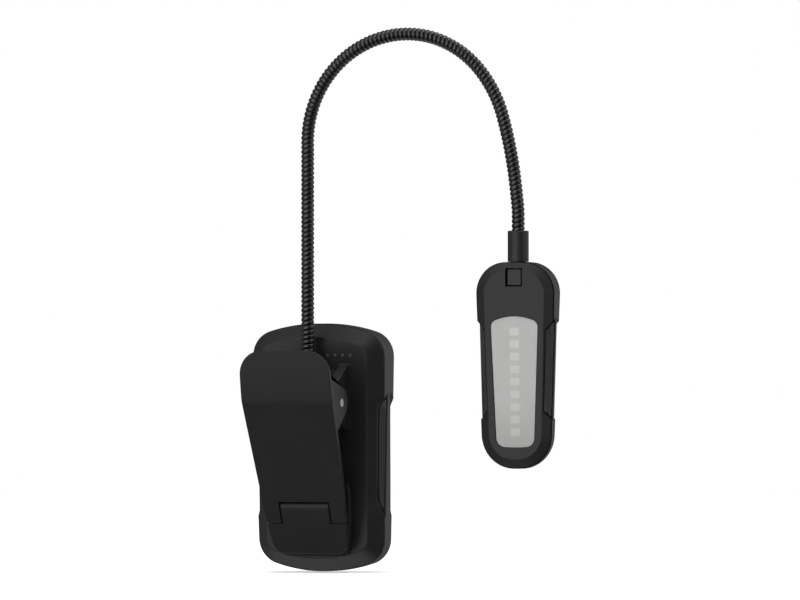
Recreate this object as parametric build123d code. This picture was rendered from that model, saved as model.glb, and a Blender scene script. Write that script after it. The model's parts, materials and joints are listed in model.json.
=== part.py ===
from build123d import *
import os
from math import acos, atan2, ceil, cos, degrees, hypot, pi, radians, sin, sqrt, tan

# A clip-on book light: a flat clip body with a sprung lever, a ribbed gooseneck and a small lamp head.
# Millimetres. +X is towards the lamp head, +Y away from the clip side, +Z up. The origin is the
# middle of the rubber grip pad on the clip body, where the jaw closes on a book.

# Clip body: a rounded wedge with a chamfer all round, front and back
PANEL_TILT = 2.75
BODY_TOP_Z = 72.5
BODY_BOTTOM_Z = -17.2
BODY_TOP_WIDTH = 51.5
BODY_BOTTOM_WIDTH = 49.0
BODY_TOP_ARCH_R = 64.0
BODY_BOTTOM_ARCH_R = 58.0
BODY_CORNER_R = 9.5
BODY_FRONT_CHAMFER = 4.9
BODY_REAR_CHAMFER = 3.4
BODY_BACK_Y = 16.0
BODY_WALL = 1.6
PARTING_SETBACK = 0.15

# Rubber grip pad glued to the clip body's front panel
PAD_THICKNESS = 1.2
PAD_HALF_WIDTH = 13.0
PAD_HALF_HEIGHT = 11.5
PAD_CORNER_R = 2.0

# Strips let into the long corners of the clip body and of the head
STRIP_GAP = 0.3
STRIP_POCKET = 0.7
STRIP_GLUE = 0.05
STRIP_RUN_ON = 4.0
BODY_STRIP = {"rear_top": 48.0, "rear_bottom": 1.8, "front_top": 42.4, "front_bottom": 8.6,
              "side_top": 3.6, "side_bottom": 0.8, "face_top": 1.95, "face_bottom": 2.2, "margin": 0.6}
HEAD_STRIP = {"rear_top": 74.9, "rear_bottom": 37.7, "front_top": 70.3, "front_bottom": 41.2,
              "side_top": 2.4, "side_bottom": 1.0, "face_top": 2.75, "face_bottom": 3.0, "margin": 0.3}

# Clip pivot: lugs on the clip body, a steel pin and a torsion spring
PIVOT_OUT = 15.0
PIVOT_Z = 44.1
PIN_R = 1.5
PIN_CLEARANCE = 0.05
LUG_INNER_X = 10.1
LUG_THICKNESS = 3.5
LUG_HUB_R = 4.9
LUG_TOP_Z = 58.0
LUG_BOTTOM_Z = 33.0
ROOT_DEEP = 0.8
ROOT_SHALLOW = 0.6
BOSS_INTO_LUG = 0.5
NECK_BOSS_OUT = 9.7
NECK_BOSS_TOP_Z = 55.2
NECK_BOSS_BOTTOM_Z = 40.0
SPRING_WIRE_R = 0.6
SPRING_COIL_GAP = 0.5
SPRING_BORE_CLEARANCE = 0.4
SPRING_TURNS = 9
SPRING_BODY_LEG_Z = 52.4
SPRING_LEVER_LEG_Z = 57.5
SPRING_SEAT_GAP = 0.1

# Clip lever: a U-channel with a thumb pad above the pivot
PLATE_WALL = 1.8
PLATE_BOTTOM = (-8.1, 0.5)
PLATE_CREASE = (-27.15, 44.6)
PAD_BEND = (-29.0, 52.6)
PAD_TOP = (-30.4, 62.8)
CREASE_R = 17.0
PAD_BEND_R = 90.0
LEVER_BOTTOM_HALF = 15.65
LEVER_CREASE_HALF = 17.65
LEVER_TOP_HALF = 17.3
THUMB_CORNER_R = 8.8
LEVER_FOOT_CORNER_R = 1.2
FLANGE_WALL = 2.0
FLANGE_INSET = 0.7
FLANGE_DEPTH = 3.8
FLANGE_FOOT_DEPTH = 1.8
FLANGE_DEEP_Z = 9.0
EAR_R = 5.8
EAR_LOW_Z = 32.0
EAR_HIGH_Z = 55.0
EAR_BOSS_R = 3.2
EAR_BOSS_GAP = 0.15
EAR_ROOT_FRONT = 0.6
EAR_ROOT_BACK = 1.2

# Jaw foot: a T-shaped shoe hinged in a notch of the lever
FOOT_AXIS_Z = 6.5
KNUCKLE_R = 2.4
TONGUE_HALF = 9.4
NOTCH_BELOW = 20.0
NOTCH_BEHIND = 9.0
NOTCH_GAP = 0.35
KNUCKLE_GAP = 0.4
FOOT_JOIN = 1.0
FOOT_HALF = 15.4
FOOT_BOTTOM_HALF = 14.5
FOOT_BOTTOM_Z = -10.6
FOOT_CORNER_R = 5.0
FOOT_HEEL_Z = 15.2
FOOT_HEEL_CHAMFER = 2.0
FOOT_BACK_OUT = 4.0
FOOT_HEEL_LOW_DEPTH = 2.4
FOOT_HEEL_MID_Z = 9.0
FOOT_HEEL_TOP_DEPTH = 3.7
FOOT_PIN_BLOCK_HALF = 1.9
FOOT_PIN_BLOCK_DEPTH = 3.7
FOOT_PIN_R = 0.8
FOOT_PIN_HALF = 12.4
FOOT_PIN_CLEARANCE = 0.04
JAW_GRIP_HALF_WIDTH = 13.0
JAW_GRIP_BOTTOM = -9.5
JAW_GRIP_TOP = 12.0
JAW_GRIP_GROOVES = 8
JAW_GRIP_GROOVE = 0.7
JAW_CLOSED_GAP = 0.1

# Gooseneck: a ribbed metal hose from the neck boss over an arch to the head's collar
NECK_OUT_Y = -7.2
NECK_R = 2.3
RIB_VALLEY_R = 2.02
NECK_BORE_R = 1.1
NECK_IN_BOSS = 10.0
NECK_IN_COLLAR = 6.0
ARCH_START_Z = 138.1
ARCH_RUNS = [("arc", 38.5, 90.0), ("arc", 36.9, 48.5), ("arc", 44.3, 25.4), ("arc", 156.0, 9.7),
             ("line", 5.5), ("arc", 45.0, 6.4), ("line", 4.9)]
NECK_SEGMENTS = 10
RIBS_PER_SEGMENT = 15
RIB_CREST_FROM = 0.18
RIB_CREST_TO = 0.70
RIB_FOOT = 0.88
JOINT_BALL_R = 1.75
JOINT_BALL_CLEARANCE = 0.05
JOINT_RELIEF = 0.85
JOINT_LIP = 0.1
LEAD_R = 0.6
LEAD_HOLE_CLEARANCE = 0.5
LEAD_TURN_DROP = 2.6
LEAD_JOINT_GAP = 0.4
BODY_LEAD_BEND_R = 1.2
HEAD_LEAD_BEND_R = 2.0
HEAD_LEAD_TURN = 2.0
HEAD_LEAD_END = 8.0
HEAD_LEAD_GAP = 0.1

# Sleeves at the two ends of the gooseneck
FERRULE_R = 3.2
FERRULE_LENGTH = 9.0
FERRULE_SINK = 0.3
COLLAR_R = 3.78
COLLAR_LENGTH = 11.15
COLLAR_STEM_R = 2.5
STEM_PAST_TONGUE = 0.5
STEM_INTO_COLLAR = 0.5
STEM_CLEARANCE = 0.02
STEM_HOLE_DEPTH = 4.0
COLLAR_LEAD_CLEARANCE = 0.3
TONGUE_WIDTH = 5.15
TONGUE_TOP = 3.1
TONGUE_BOTTOM = 8.0
TONGUE_RECESS = 0.6
TONGUE_SLOT_GAP = 0.55
TONGUE_FOOT = 0.4
COLLAR_CHAMFER = 0.3

# Lamp head
HEAD_HEIGHT = 74.1
HEAD_TOP_WIDTH = 30.4
HEAD_BOTTOM_WIDTH = 26.2
HEAD_TOP_ARCH_R = 60.0
HEAD_BOTTOM_ARCH_R = 45.0
HEAD_TOP_CORNER_R = 11.3
HEAD_BOTTOM_CORNER_R = 12.3
HEAD_TILT = 1.6
HEAD_MID_HALF = 3.85
HEAD_CHAMFER_WIDE = 3.4
HEAD_CHAMFER_DEEP = 1.44
HEAD_WALL = 1.1
HEAD_INNER_CHAMFER = 0.3
HEAD_GROOVE = 0.3
HEAD_GROOVE_DEPTH = 0.45
WINDOW_TOP = 19.4
WINDOW_BOTTOM = 66.6
WINDOW_TOP_HALF = 9.15
WINDOW_BOTTOM_HALF = 7.3
WINDOW_TOP_ARCH_R = 20.0
WINDOW_BOTTOM_ARCH_R = 60.0
WINDOW_TOP_CORNER_R = 2.6
WINDOW_BOTTOM_CORNER_R = 3.4
LENS_RECESS = 0.25
LENS_GAP = 0.15
LENS_FLANGE = 0.9
LENS_FLANGE_THICKNESS = 0.6
LED_BOARD_THICKNESS = 0.8
LED_BOARD_ABOVE = 1.5
LED_BOARD_SHORT = 0.5
LED_DEPTH = 2.6
LED_HEIGHT = 0.7
LED_SIZE = (3.5, 2.7)
LED_COUNT = 9
LED_PITCH = 4.5
LED_FIRST = 25.0

# Inside the clip body
BOARD_FRONT_Y = 6.9
BOARD_THICKNESS = 1.0
BOARD_EDGE_GAP = 0.6
CELL_WIDTH = 32.0
CELL_HEIGHT = 46.0
CELL_THICKNESS = 5.0
CELL_BOTTOM_Z = 9.0
CELL_CORNER_R = 1.5
USB_WIDTH = 8.94
USB_HEIGHT = 3.26
USB_LENGTH = 7.3
USB_SHELL = 0.3
USB_GAP = 0.15
USB_SINK = 0.5
USB_TONGUE = (6.7, 0.7, 4.4)
USB_TONGUE_MIDDLE = 4.3
USB_BACK_WALL = 1.0
USB_END_FLAT = 0.01
INDICATOR_X = [5.5, 8.4, 11.3, 14.2]
INDICATOR_Z = 61.1
INDICATOR_R = 0.55
INDICATOR_LED = (1.6, 0.8, 0.7)
BUTTON_Z = 0.0
BUTTON_LENGTH = 10.0
BUTTON_WIDTH = 5.0
BUTTON_GAP = 0.15
BUTTON_PROUD = 0.7
BUTTON_TRAVEL = 0.5
SWITCH_SIZE = 6.0
SWITCH_HEIGHT = 3.1
SWITCH_FLOOR = 1.0
PLUNGER_R = 1.7
PLUNGER_GAP = 0.05
PLUNGER_OUT = 0.6
PLUNGER_PLAY = 0.1
BUTTON_EDGE_R = 0.5
BUTTON_RIM = 0.8
BUTTON_RIM_GAP = 0.05

# Screws
BODY_SCREW_R = 1.0
BODY_SCREW_HEAD_R = 1.9
BODY_SCREW_HEAD = 1.3
BODY_SCREW_PLACES = [(-18.6, 59.0), (18.6, 59.0), (-17.2, -1.5), (17.2, -1.5)]
BODY_POST_R = 2.7
BODY_SCREW_TIP_Y = 3.2
HEAD_SCREW_R = 0.7
HEAD_SCREW_HEAD_R = 1.3
HEAD_SCREW_HEAD = 0.8
HEAD_SCREW_TIP_GAP = 0.4
HEAD_POST_R = 1.5
HEAD_POST_PAST = 0.6
HEAD_POST_ROOT = 0.5
HEAD_HOLE_CLEARANCE = 0.1
HEAD_SCREW_PLACES = [(-9.6, 12.0), (9.6, 12.0), (0.0, 69.4)]
SCREW_SINK = 0.4
CROSS_RECESS = (1.3, 0.3, 0.6)
HOLE_CLEARANCE = 0.15

# Reference planes and places worked out from the sizes above
PANEL = Plane((0, PAD_THICKNESS, 0), x_dir=(1, 0, 0),
              z_dir=(0, -cos(radians(PANEL_TILT)), -sin(radians(PANEL_TILT))))
ROOMY = 150.0
PAST = 1.0


def panel_y(z):
    return PAD_THICKNESS - z * tan(radians(PANEL_TILT))


PIVOT_Y = panel_y(PIVOT_Z) - PIVOT_OUT
REAR_CORNER_Y = BODY_BACK_Y - BODY_REAR_CHAMFER
NECK_START_Z = NECK_BOSS_TOP_Z - NECK_IN_BOSS
LEAD_TURN_Z = NECK_START_Z - LEAD_TURN_DROP
BOARD_BACK_Y = BOARD_FRONT_Y + BOARD_THICKNESS
USB_Y = BOARD_BACK_Y + USB_HEIGHT / 2


def arch_drop(radius, half):
    """How far an arch of this radius falls from its crown at this half width."""
    return radius - sqrt(radius ** 2 - half ** 2)


def yz_profile(points, bends=()):
    """A closed face in the plane X = 0 through (y, z) points, rounded at the (point, radius) bends."""
    face = make_face(Polyline(*points, close=True))
    for (y, z), radius in bends:
        corner = [v for v in face.vertices() if hypot(v.X - y, v.Y - z) < 0.001]
        face = fillet(corner, radius)
    return Plane.YZ * face


def yz_hull(centre, radius, points):
    """The convex outline round a circle and some points, in the plane X = 0."""
    ring = (Pos(*centre) * Circle(radius)).edges()
    corners = make_face(Polyline(*points, close=True)).edges()
    return Plane.YZ * make_hull(ring + corners)


def bar(profile, half_width):
    """A profile in the plane X = 0 drawn out to both sides."""
    return extrude(profile, amount=half_width, both=True)


def through_y(face, y_low, y_high):
    """A face drawn in the XZ plane, drawn out between two values of y."""
    return extrude(Pos(0, y_high, 0) * face, amount=y_high - y_low, dir=(0, -1, 0))


def beyond(plane):
    """Everything on the side of a plane that its normal points to."""
    return plane.location * Pos(0, 0, ROOMY / 2) * Box(2 * ROOMY, 2 * ROOMY, ROOMY)


def rod_x(radius, x_low, x_high, y, z):
    """A round bar along X."""
    return Pos((x_low + x_high) / 2, y, z) * Rot(0, 90, 0) * Cylinder(radius, x_high - x_low)


def rod_y(radius, y_low, y_high, x, z):
    """A round bar along Y."""
    return Pos(x, (y_low + y_high) / 2, z) * Rot(90, 0, 0) * Cylinder(radius, y_high - y_low)


def rod_z(radius, z_low, z_high, x, y):
    """A round bar along Z."""
    return Pos(x, y, (z_low + z_high) / 2) * Cylinder(radius, z_high - z_low)


def rounded_trapezoid(top_half, bottom_half, top, bottom, top_arch, bottom_arch, top_r, bottom_r):
    """A face in the XZ plane: two straight sides, arched ends, rounded corners."""
    top_z = top - arch_drop(top_arch, top_half)
    bottom_z = bottom + arch_drop(bottom_arch, bottom_half)
    left_side = Line((-bottom_half, bottom_z), (-top_half, top_z))
    crown = ThreePointArc((-top_half, top_z), (0, top), (top_half, top_z))
    right_side = Line((top_half, top_z), (bottom_half, bottom_z))
    heel = ThreePointArc((bottom_half, bottom_z), (0, bottom), (-bottom_half, bottom_z))
    face = make_face([left_side, crown, right_side, heel])
    middle = (top + bottom) / 2
    upper = [v for v in face.vertices() if v.Y > middle]
    face = fillet(upper, top_r)
    lower = [v for v in face.vertices() if v.Y < middle and abs(abs(v.X) - bottom_half) < 0.01]
    face = fillet(lower, bottom_r)
    return Plane.XZ * face


def facing(part, direction):
    """The face whose normal points most nearly along a direction."""
    way = Vector(*direction).normalized()
    return max(part.faces().filter_by(GeomType.PLANE), key=lambda f: f.normal_at().dot(way) * 1e4 + f.area)


def wedge(face, front, back, wide, deep, back_wide, back_deep):
    """A slab between two planes, whose normals point out of it, chamfered round both faces.
    The chamfers take wide off the faces and deep off the sides."""
    slab = through_y(face, -ROOMY / 3, ROOMY / 3)
    slab = slab - beyond(front) - beyond(back)
    near = facing(slab, tuple(front.z_dir))
    slab = chamfer(near.edges(), length=wide, length2=deep, reference=near)
    far = facing(slab, tuple(back.z_dir))
    return chamfer(far.edges(), length=back_wide, length2=back_deep, reference=far)


# The clip body


def body_wedge(inset):
    """The clip body's outer form, or the room inside it when inset is the wall."""
    face = rounded_trapezoid(BODY_TOP_WIDTH / 2 - inset, BODY_BOTTOM_WIDTH / 2 - inset,
                             BODY_TOP_Z - inset, BODY_BOTTOM_Z + inset,
                             BODY_TOP_ARCH_R - inset, BODY_BOTTOM_ARCH_R - inset,
                             BODY_CORNER_R - inset, BODY_CORNER_R - inset)
    front = PANEL.offset(-inset)
    back = Plane((0, BODY_BACK_Y - inset, 0), x_dir=(1, 0, 0), z_dir=(0, 1, 0))
    trim = inset * (2 - sqrt(2))
    near = BODY_FRONT_CHAMFER - trim
    far = BODY_REAR_CHAMFER - trim
    return wedge(face, front, back, near, near, far, far)


def body_half(z):
    """Half width of the clip body's sides at a height."""
    top_z = BODY_TOP_Z - arch_drop(BODY_TOP_ARCH_R, BODY_TOP_WIDTH / 2)
    bottom_z = BODY_BOTTOM_Z + arch_drop(BODY_BOTTOM_ARCH_R, BODY_BOTTOM_WIDTH / 2)
    share = (z - bottom_z) / (top_z - bottom_z)
    return (BODY_BOTTOM_WIDTH + (BODY_TOP_WIDTH - BODY_BOTTOM_WIDTH) * share) / 2


def body_corner(z, front):
    """The long corner between side wall and chamfer, on the +X side."""
    y = panel_y(z) + BODY_FRONT_CHAMFER if front else REAR_CORNER_Y
    return Vector(body_half(z), y, z)


def strip_lines(sizes, corner, front, slope):
    """The four ends of a corner facet: its edge on the chamfer and its edge on the side wall."""
    back = 1 if front else -1

    def on_face(z, run):
        return corner(z, front) + Vector(-run, -back * run * slope, 0)

    def on_side(z, run):
        return corner(z, front) + Vector(0, back * run, 0)

    low, high = sizes["rear_bottom"] - STRIP_RUN_ON, sizes["rear_top"] + STRIP_RUN_ON
    face_low = on_face(low, sizes["face_bottom"])
    face_high = on_face(high, sizes["face_top"])
    side_low = on_side(low, sizes["side_bottom"])
    side_high = on_side(high, sizes["side_top"])
    return face_low, face_high, side_low, side_high


def strip_block(sizes, corner, front, slope, margin, end_margin, low, high):
    """A bar that follows a corner facet from low to high above its surface, less margins at its long
    edges and at its ends."""
    face_low, face_high, side_low, side_high = strip_lines(sizes, corner, front, slope)
    sections = []
    for face_end, side_end in ((face_low, side_low), (face_high, side_high)):
        along = (side_end - face_end).normalized()
        out = Vector(abs(along.Y), -along.X if along.Y > 0 else along.X, 0).normalized()
        near = face_end + along * margin
        far = side_end - along * margin
        points = [near + out * low, far + out * low, far + out * high, near + out * high]
        sections.append(Face(Wire.make_polygon(points)))
    block = loft(sections, ruled=True)
    across = (side_low - face_low).normalized()
    out = Vector(abs(across.Y), -across.X if across.Y > 0 else across.X, 0).normalized()
    for face_z, side_z, way in ((sizes["front_top"], sizes["rear_top"], 1),
                                (sizes["front_bottom"], sizes["rear_bottom"], -1)):
        start = face_low + (face_high - face_low) * ((face_z - face_low.Z) / (face_high.Z - face_low.Z))
        end = side_low + (side_high - side_low) * ((side_z - side_low.Z) / (side_high.Z - side_low.Z))
        edge = (end - start).normalized()
        normal = edge.cross(out).normalized()
        if normal.Z * way < 0:
            normal = normal * -1
        cut = Plane(start - normal * end_margin, x_dir=edge, z_dir=normal)
        block = block - beyond(cut)
    return block


def both_sides(shape):
    """A shape on the +X side with its mirror image."""
    return shape, mirror(shape, about=Plane.YZ)


def strip_set(sizes, corner, front, slope, place):
    """Facet cutter, pocket cutter and strip for the +X and -X corners, at place."""
    margin = sizes["margin"]
    inner = margin + STRIP_GAP
    facet = strip_block(sizes, corner, front, slope, -2 * PAST, 0, 0, STRIP_RUN_ON)
    pocket = strip_block(sizes, corner, front, slope, margin, margin, -STRIP_POCKET, PAST)
    strip = strip_block(sizes, corner, front, slope, inner, inner, STRIP_GLUE - STRIP_POCKET, 0)
    made = []
    for right, left in (both_sides(facet), both_sides(pocket), both_sides(strip)):
        made.append((place * right, place * left))
    return made


def screw_y(radius, head_r, head, y_head, y_tip, x, z):
    """A pan-head screw along Y whose head faces +Y, with a cross recess."""
    shank = rod_y(radius, y_tip, y_head, x, z)
    top = rod_y(head_r, y_head, y_head + head, x, z)
    long, wide, deep = CROSS_RECESS
    slot = Box(head_r * long, 2 * head * deep, head_r * wide)
    cross = Pos(x, y_head + head, z) * (slot + Rot(0, 90, 0) * slot)
    return shank + top - cross


def make_body_shells():
    outer = body_wedge(0)
    room = body_wedge(BODY_WALL)
    parting = PANEL.offset(-BODY_FRONT_CHAMFER - PARTING_SETBACK)
    cover = (outer - room) - beyond(Plane(parting.origin, parting.x_dir, -parting.z_dir))
    tray = (outer - room) - beyond(parting)

    # Screw posts, sunk heads and the seats for the circuit board
    for x, z in BODY_SCREW_PLACES:
        post = rod_y(BODY_POST_R, panel_y(z) + BODY_WALL / 2, BOARD_FRONT_Y, x, z)
        thread = rod_y(BODY_SCREW_R, BODY_SCREW_TIP_Y, BOARD_FRONT_Y + PAST, x, z)
        cover = cover + post - thread
        seat_y = BODY_BACK_Y - SCREW_SINK - BODY_SCREW_HEAD
        tray = tray + rod_y(BODY_POST_R, BOARD_BACK_Y, BODY_BACK_Y - BODY_WALL / 2, x, z)
        shank_hole = BODY_SCREW_R + HOLE_CLEARANCE
        head_hole = BODY_SCREW_HEAD_R + HOLE_CLEARANCE
        tray = tray - rod_y(shank_hole, BOARD_BACK_Y - PAST, BODY_BACK_Y + PAST, x, z)
        tray = tray - rod_y(head_hole, seat_y, BODY_BACK_Y + PAST, x, z)

    # Lugs and the neck boss between them
    lug = yz_hull((PIVOT_Y, PIVOT_Z), LUG_HUB_R,
                  [(panel_y(LUG_TOP_Z) + ROOT_DEEP, LUG_TOP_Z),
                   (panel_y(LUG_BOTTOM_Z) + ROOT_DEEP, LUG_BOTTOM_Z),
                   (panel_y(LUG_BOTTOM_Z) + ROOT_SHALLOW, LUG_BOTTOM_Z),
                   (panel_y(LUG_TOP_Z) + ROOT_SHALLOW, LUG_TOP_Z)])
    for x in (LUG_INNER_X, -LUG_INNER_X - LUG_THICKNESS):
        cover = cover + extrude(Pos(x, 0, 0) * lug, amount=LUG_THICKNESS, dir=(1, 0, 0))
    boss = yz_profile([(panel_y(NECK_BOSS_TOP_Z) + ROOT_DEEP, NECK_BOSS_TOP_Z),
                       (panel_y(NECK_BOSS_TOP_Z) - NECK_BOSS_OUT, NECK_BOSS_TOP_Z),
                       (panel_y(NECK_BOSS_BOTTOM_Z) - NECK_BOSS_OUT, NECK_BOSS_BOTTOM_Z),
                       (panel_y(NECK_BOSS_BOTTOM_Z) + ROOT_DEEP, NECK_BOSS_BOTTOM_Z)])
    cover = cover + bar(boss, LUG_INNER_X + BOSS_INTO_LUG)
    cover = cover - rod_x(PIN_R + PIN_CLEARANCE, -BODY_TOP_WIDTH / 2, BODY_TOP_WIDTH / 2, PIVOT_Y, PIVOT_Z)

    # Bore for the gooseneck and its ferrule, and the way for the lead into the body
    lead_room = LEAD_R + LEAD_HOLE_CLEARANCE
    seat_z = NECK_BOSS_TOP_Z - FERRULE_LENGTH
    cover = cover - rod_z(FERRULE_R, seat_z, NECK_BOSS_TOP_Z + PAST, 0, NECK_OUT_Y)
    cover = cover - rod_z(NECK_R, NECK_START_Z, NECK_BOSS_TOP_Z, 0, NECK_OUT_Y)
    cover = cover - rod_z(lead_room, LEAD_TURN_Z - lead_room, NECK_START_Z + PAST, 0, NECK_OUT_Y)
    cover = cover - rod_y(lead_room, NECK_OUT_Y, BODY_WALL + 2 * PAST, 0, LEAD_TURN_Z)

    # Holes for the charge indicators, the button and the charging socket
    for x in INDICATOR_X:
        front_y = panel_y(INDICATOR_Z)
        cover = cover - rod_y(INDICATOR_R, front_y - PAST, BODY_WALL + 2 * PAST, x, INDICATOR_Z)
    grown = Pos(0, 0, BUTTON_Z) * (Plane.XZ * SlotOverall(BUTTON_LENGTH + 2 * BUTTON_GAP,
                                                         BUTTON_WIDTH + 2 * BUTTON_GAP))
    tray = tray - through_y(grown, BODY_BACK_Y - BODY_WALL - PAST, BODY_BACK_Y + PAST)
    mouth = Plane.XY * RectangleRounded(USB_WIDTH + 2 * USB_GAP, USB_HEIGHT + 2 * USB_GAP,
                                        USB_HEIGHT / 2)
    tray = tray - extrude(Pos(0, USB_Y, BODY_BOTTOM_Z - PAST) * mouth, amount=USB_LENGTH)
    return cover, tray


def make_body():
    """Everything fixed in or on the clip body."""
    cover, tray = make_body_shells()
    pieces = {}
    for front, side in ((True, "front"), (False, "rear")):
        facets, pockets, strips = strip_set(BODY_STRIP, body_corner, front, 1.0, Pos(0, 0, 0))
        for cutter in facets + pockets:
            cover = cover - cutter
            tray = tray - cutter
        pieces[f"body_strip_{side}_right"] = strips[0]
        pieces[f"body_strip_{side}_left"] = strips[1]
    pieces["body_front_cover"] = cover
    pieces["body_rear_shell"] = tray

    seat_y = BODY_BACK_Y - SCREW_SINK - BODY_SCREW_HEAD
    pieces["body_screws"] = [screw_y(BODY_SCREW_R, BODY_SCREW_HEAD_R, BODY_SCREW_HEAD, seat_y,
                                     BODY_SCREW_TIP_Y, x, z) for x, z in BODY_SCREW_PLACES]

    # Circuit board, cut to the form of the shell
    inset = BODY_WALL + BOARD_EDGE_GAP
    board = rounded_trapezoid(BODY_TOP_WIDTH / 2 - inset, BODY_BOTTOM_WIDTH / 2 - inset,
                              BODY_TOP_Z - inset, BODY_BOTTOM_Z + inset,
                              BODY_TOP_ARCH_R, BODY_BOTTOM_ARCH_R,
                              BODY_CORNER_R - inset, BODY_CORNER_R - inset)
    board = through_y(board, BOARD_FRONT_Y, BOARD_BACK_Y)
    shank_hole = BODY_SCREW_R + HOLE_CLEARANCE
    for x, z in BODY_SCREW_PLACES:
        board = board - rod_y(shank_hole, BOARD_FRONT_Y - PAST, BOARD_BACK_Y + PAST, x, z)
    pieces["circuit_board"] = board

    # Pouch cell glued to the back wall
    cell_y = BODY_BACK_Y - BODY_WALL - CELL_THICKNESS / 2
    cell = Pos(0, cell_y, CELL_BOTTOM_Z + CELL_HEIGHT / 2) * Box(CELL_WIDTH, CELL_THICKNESS, CELL_HEIGHT)
    pieces["battery_cell"] = fillet(cell.edges().filter_by(Axis.Z), CELL_CORNER_R)

    # Charging socket: a folded steel shell round a tongue
    outside = RectangleRounded(USB_WIDTH, USB_HEIGHT, USB_HEIGHT / 2 - USB_END_FLAT)
    shell = extrude(outside, amount=USB_LENGTH)
    mouth = RectangleRounded(USB_WIDTH - 2 * USB_SHELL, USB_HEIGHT - 2 * USB_SHELL,
                             USB_HEIGHT / 2 - USB_SHELL - USB_END_FLAT)
    shell = shell - extrude(mouth, amount=USB_LENGTH - USB_BACK_WALL)
    shell = shell + Pos(0, 0, USB_TONGUE_MIDDLE) * Box(*USB_TONGUE)
    pieces["charging_socket"] = Pos(0, USB_Y, BODY_BOTTOM_Z + USB_SINK) * shell

    # Charge indicators: four small lamps on the board and a light guide for each
    lamp_front = BOARD_FRONT_Y - INDICATOR_LED[2]
    lamps = []
    guides = []
    for x in INDICATOR_X:
        lamp = Box(INDICATOR_LED[0], INDICATOR_LED[2], INDICATOR_LED[1])
        lamps.append(Pos(x, BOARD_FRONT_Y - INDICATOR_LED[2] / 2, INDICATOR_Z) * lamp)
        guides.append(rod_y(INDICATOR_R, panel_y(INDICATOR_Z), lamp_front, x, INDICATOR_Z))
    pieces["indicator_leds"] = lamps
    pieces["indicator_light_guides"] = guides

    # Switch under the power button
    housing_y = BOARD_BACK_Y + SWITCH_HEIGHT / 2
    housing = Pos(0, housing_y, BUTTON_Z) * Box(SWITCH_SIZE, SWITCH_HEIGHT, SWITCH_SIZE)
    well_r = PLUNGER_R + PLUNGER_GAP
    well = rod_y(well_r, BOARD_BACK_Y + SWITCH_FLOOR, BOARD_BACK_Y + SWITCH_HEIGHT + PAST, 0, BUTTON_Z)
    pieces["button_switch"] = housing - well

    pad = RectangleRounded(2 * PAD_HALF_WIDTH, 2 * PAD_HALF_HEIGHT, PAD_CORNER_R)
    pieces["body_grip_pad"] = PANEL * extrude(pad, amount=PAD_THICKNESS * cos(radians(PANEL_TILT)))
    return pieces


def make_button():
    """The power button's cap and stem, and the switch plunger that moves with it."""
    oval = Pos(0, 0, BUTTON_Z) * (Plane.XZ * SlotOverall(BUTTON_LENGTH, BUTTON_WIDTH))
    cap = through_y(oval, BODY_BACK_Y - BODY_WALL - BUTTON_TRAVEL, BODY_BACK_Y + BUTTON_PROUD)
    cap = fillet(facing(cap, (0, 1, 0)).edges(), BUTTON_EDGE_R)
    plunger_top = BOARD_BACK_Y + SWITCH_HEIGHT + PLUNGER_OUT
    rim_face = SlotOverall(BUTTON_LENGTH + 2 * BUTTON_RIM, BUTTON_WIDTH + 2 * BUTTON_RIM)
    rim_y = BODY_BACK_Y - BODY_WALL - BUTTON_RIM_GAP
    rim = through_y(Pos(0, 0, BUTTON_Z) * (Plane.XZ * rim_face), rim_y - BUTTON_RIM, rim_y)
    stem = rod_y(PLUNGER_R, plunger_top, rim_y, 0, BUTTON_Z)
    plunger_low = BOARD_BACK_Y + SWITCH_FLOOR + BUTTON_TRAVEL + PLUNGER_PLAY
    plunger = rod_y(PLUNGER_R, plunger_low, plunger_top, 0, BUTTON_Z)
    return {"power_button": cap + rim + stem, "switch_plunger": plunger}


# The clip lever and its jaw foot


def lever_front(z):
    """The y of the lever's front face at a height."""
    points = [PLATE_BOTTOM, PLATE_CREASE, PAD_BEND, PAD_TOP]
    for (y1, z1), (y2, z2) in zip(points, points[1:]):
        if z <= z2 or (y2, z2) == PAD_TOP:
            return y1 + (y2 - y1) * (z - z1) / (z2 - z1)


PLATE_LENGTH = hypot(PLATE_CREASE[0] - PLATE_BOTTOM[0], PLATE_CREASE[1] - PLATE_BOTTOM[1])
PLATE_UP = Vector(0, (PLATE_CREASE[0] - PLATE_BOTTOM[0]) / PLATE_LENGTH,
                  (PLATE_CREASE[1] - PLATE_BOTTOM[1]) / PLATE_LENGTH)
PLATE_IN = Vector(0, PLATE_UP.Z, -PLATE_UP.Y)
FOOT_AXIS_Y = lever_front(FOOT_AXIS_Z) + KNUCKLE_R / PLATE_IN.Y
FOOT_AXIS = Vector(0, FOOT_AXIS_Y, FOOT_AXIS_Z)
PLATE_BOTTOM_UP = -(FOOT_AXIS_Z - PLATE_IN.Z * KNUCKLE_R - PLATE_BOTTOM[1]) / PLATE_UP.Z


def plate_point(up, inward):
    """A (y, z) point at a distance up the lever's plate from the jaw foot's axis, and behind its face."""
    face = FOOT_AXIS - PLATE_IN * KNUCKLE_R
    there = face + PLATE_UP * up + PLATE_IN * inward
    return there.Y, there.Z


def lever_outline(inset):
    """The lever's outline from the front, in the XZ plane."""
    bottom = PLATE_BOTTOM[1]
    points = [(-LEVER_BOTTOM_HALF + inset, bottom), (-LEVER_CREASE_HALF + inset, PLATE_CREASE[1]),
              (-LEVER_TOP_HALF + inset, PAD_TOP[1]), (LEVER_TOP_HALF - inset, PAD_TOP[1]),
              (LEVER_CREASE_HALF - inset, PLATE_CREASE[1]), (LEVER_BOTTOM_HALF - inset, bottom)]
    face = make_face(Polyline(*points, close=True))
    face = fillet([v for v in face.vertices() if v.Y > PAD_BEND[1]], THUMB_CORNER_R - inset)
    face = fillet([v for v in face.vertices() if v.Y < bottom + 0.01], LEVER_FOOT_CORNER_R)
    return Plane.XZ * face


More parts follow.
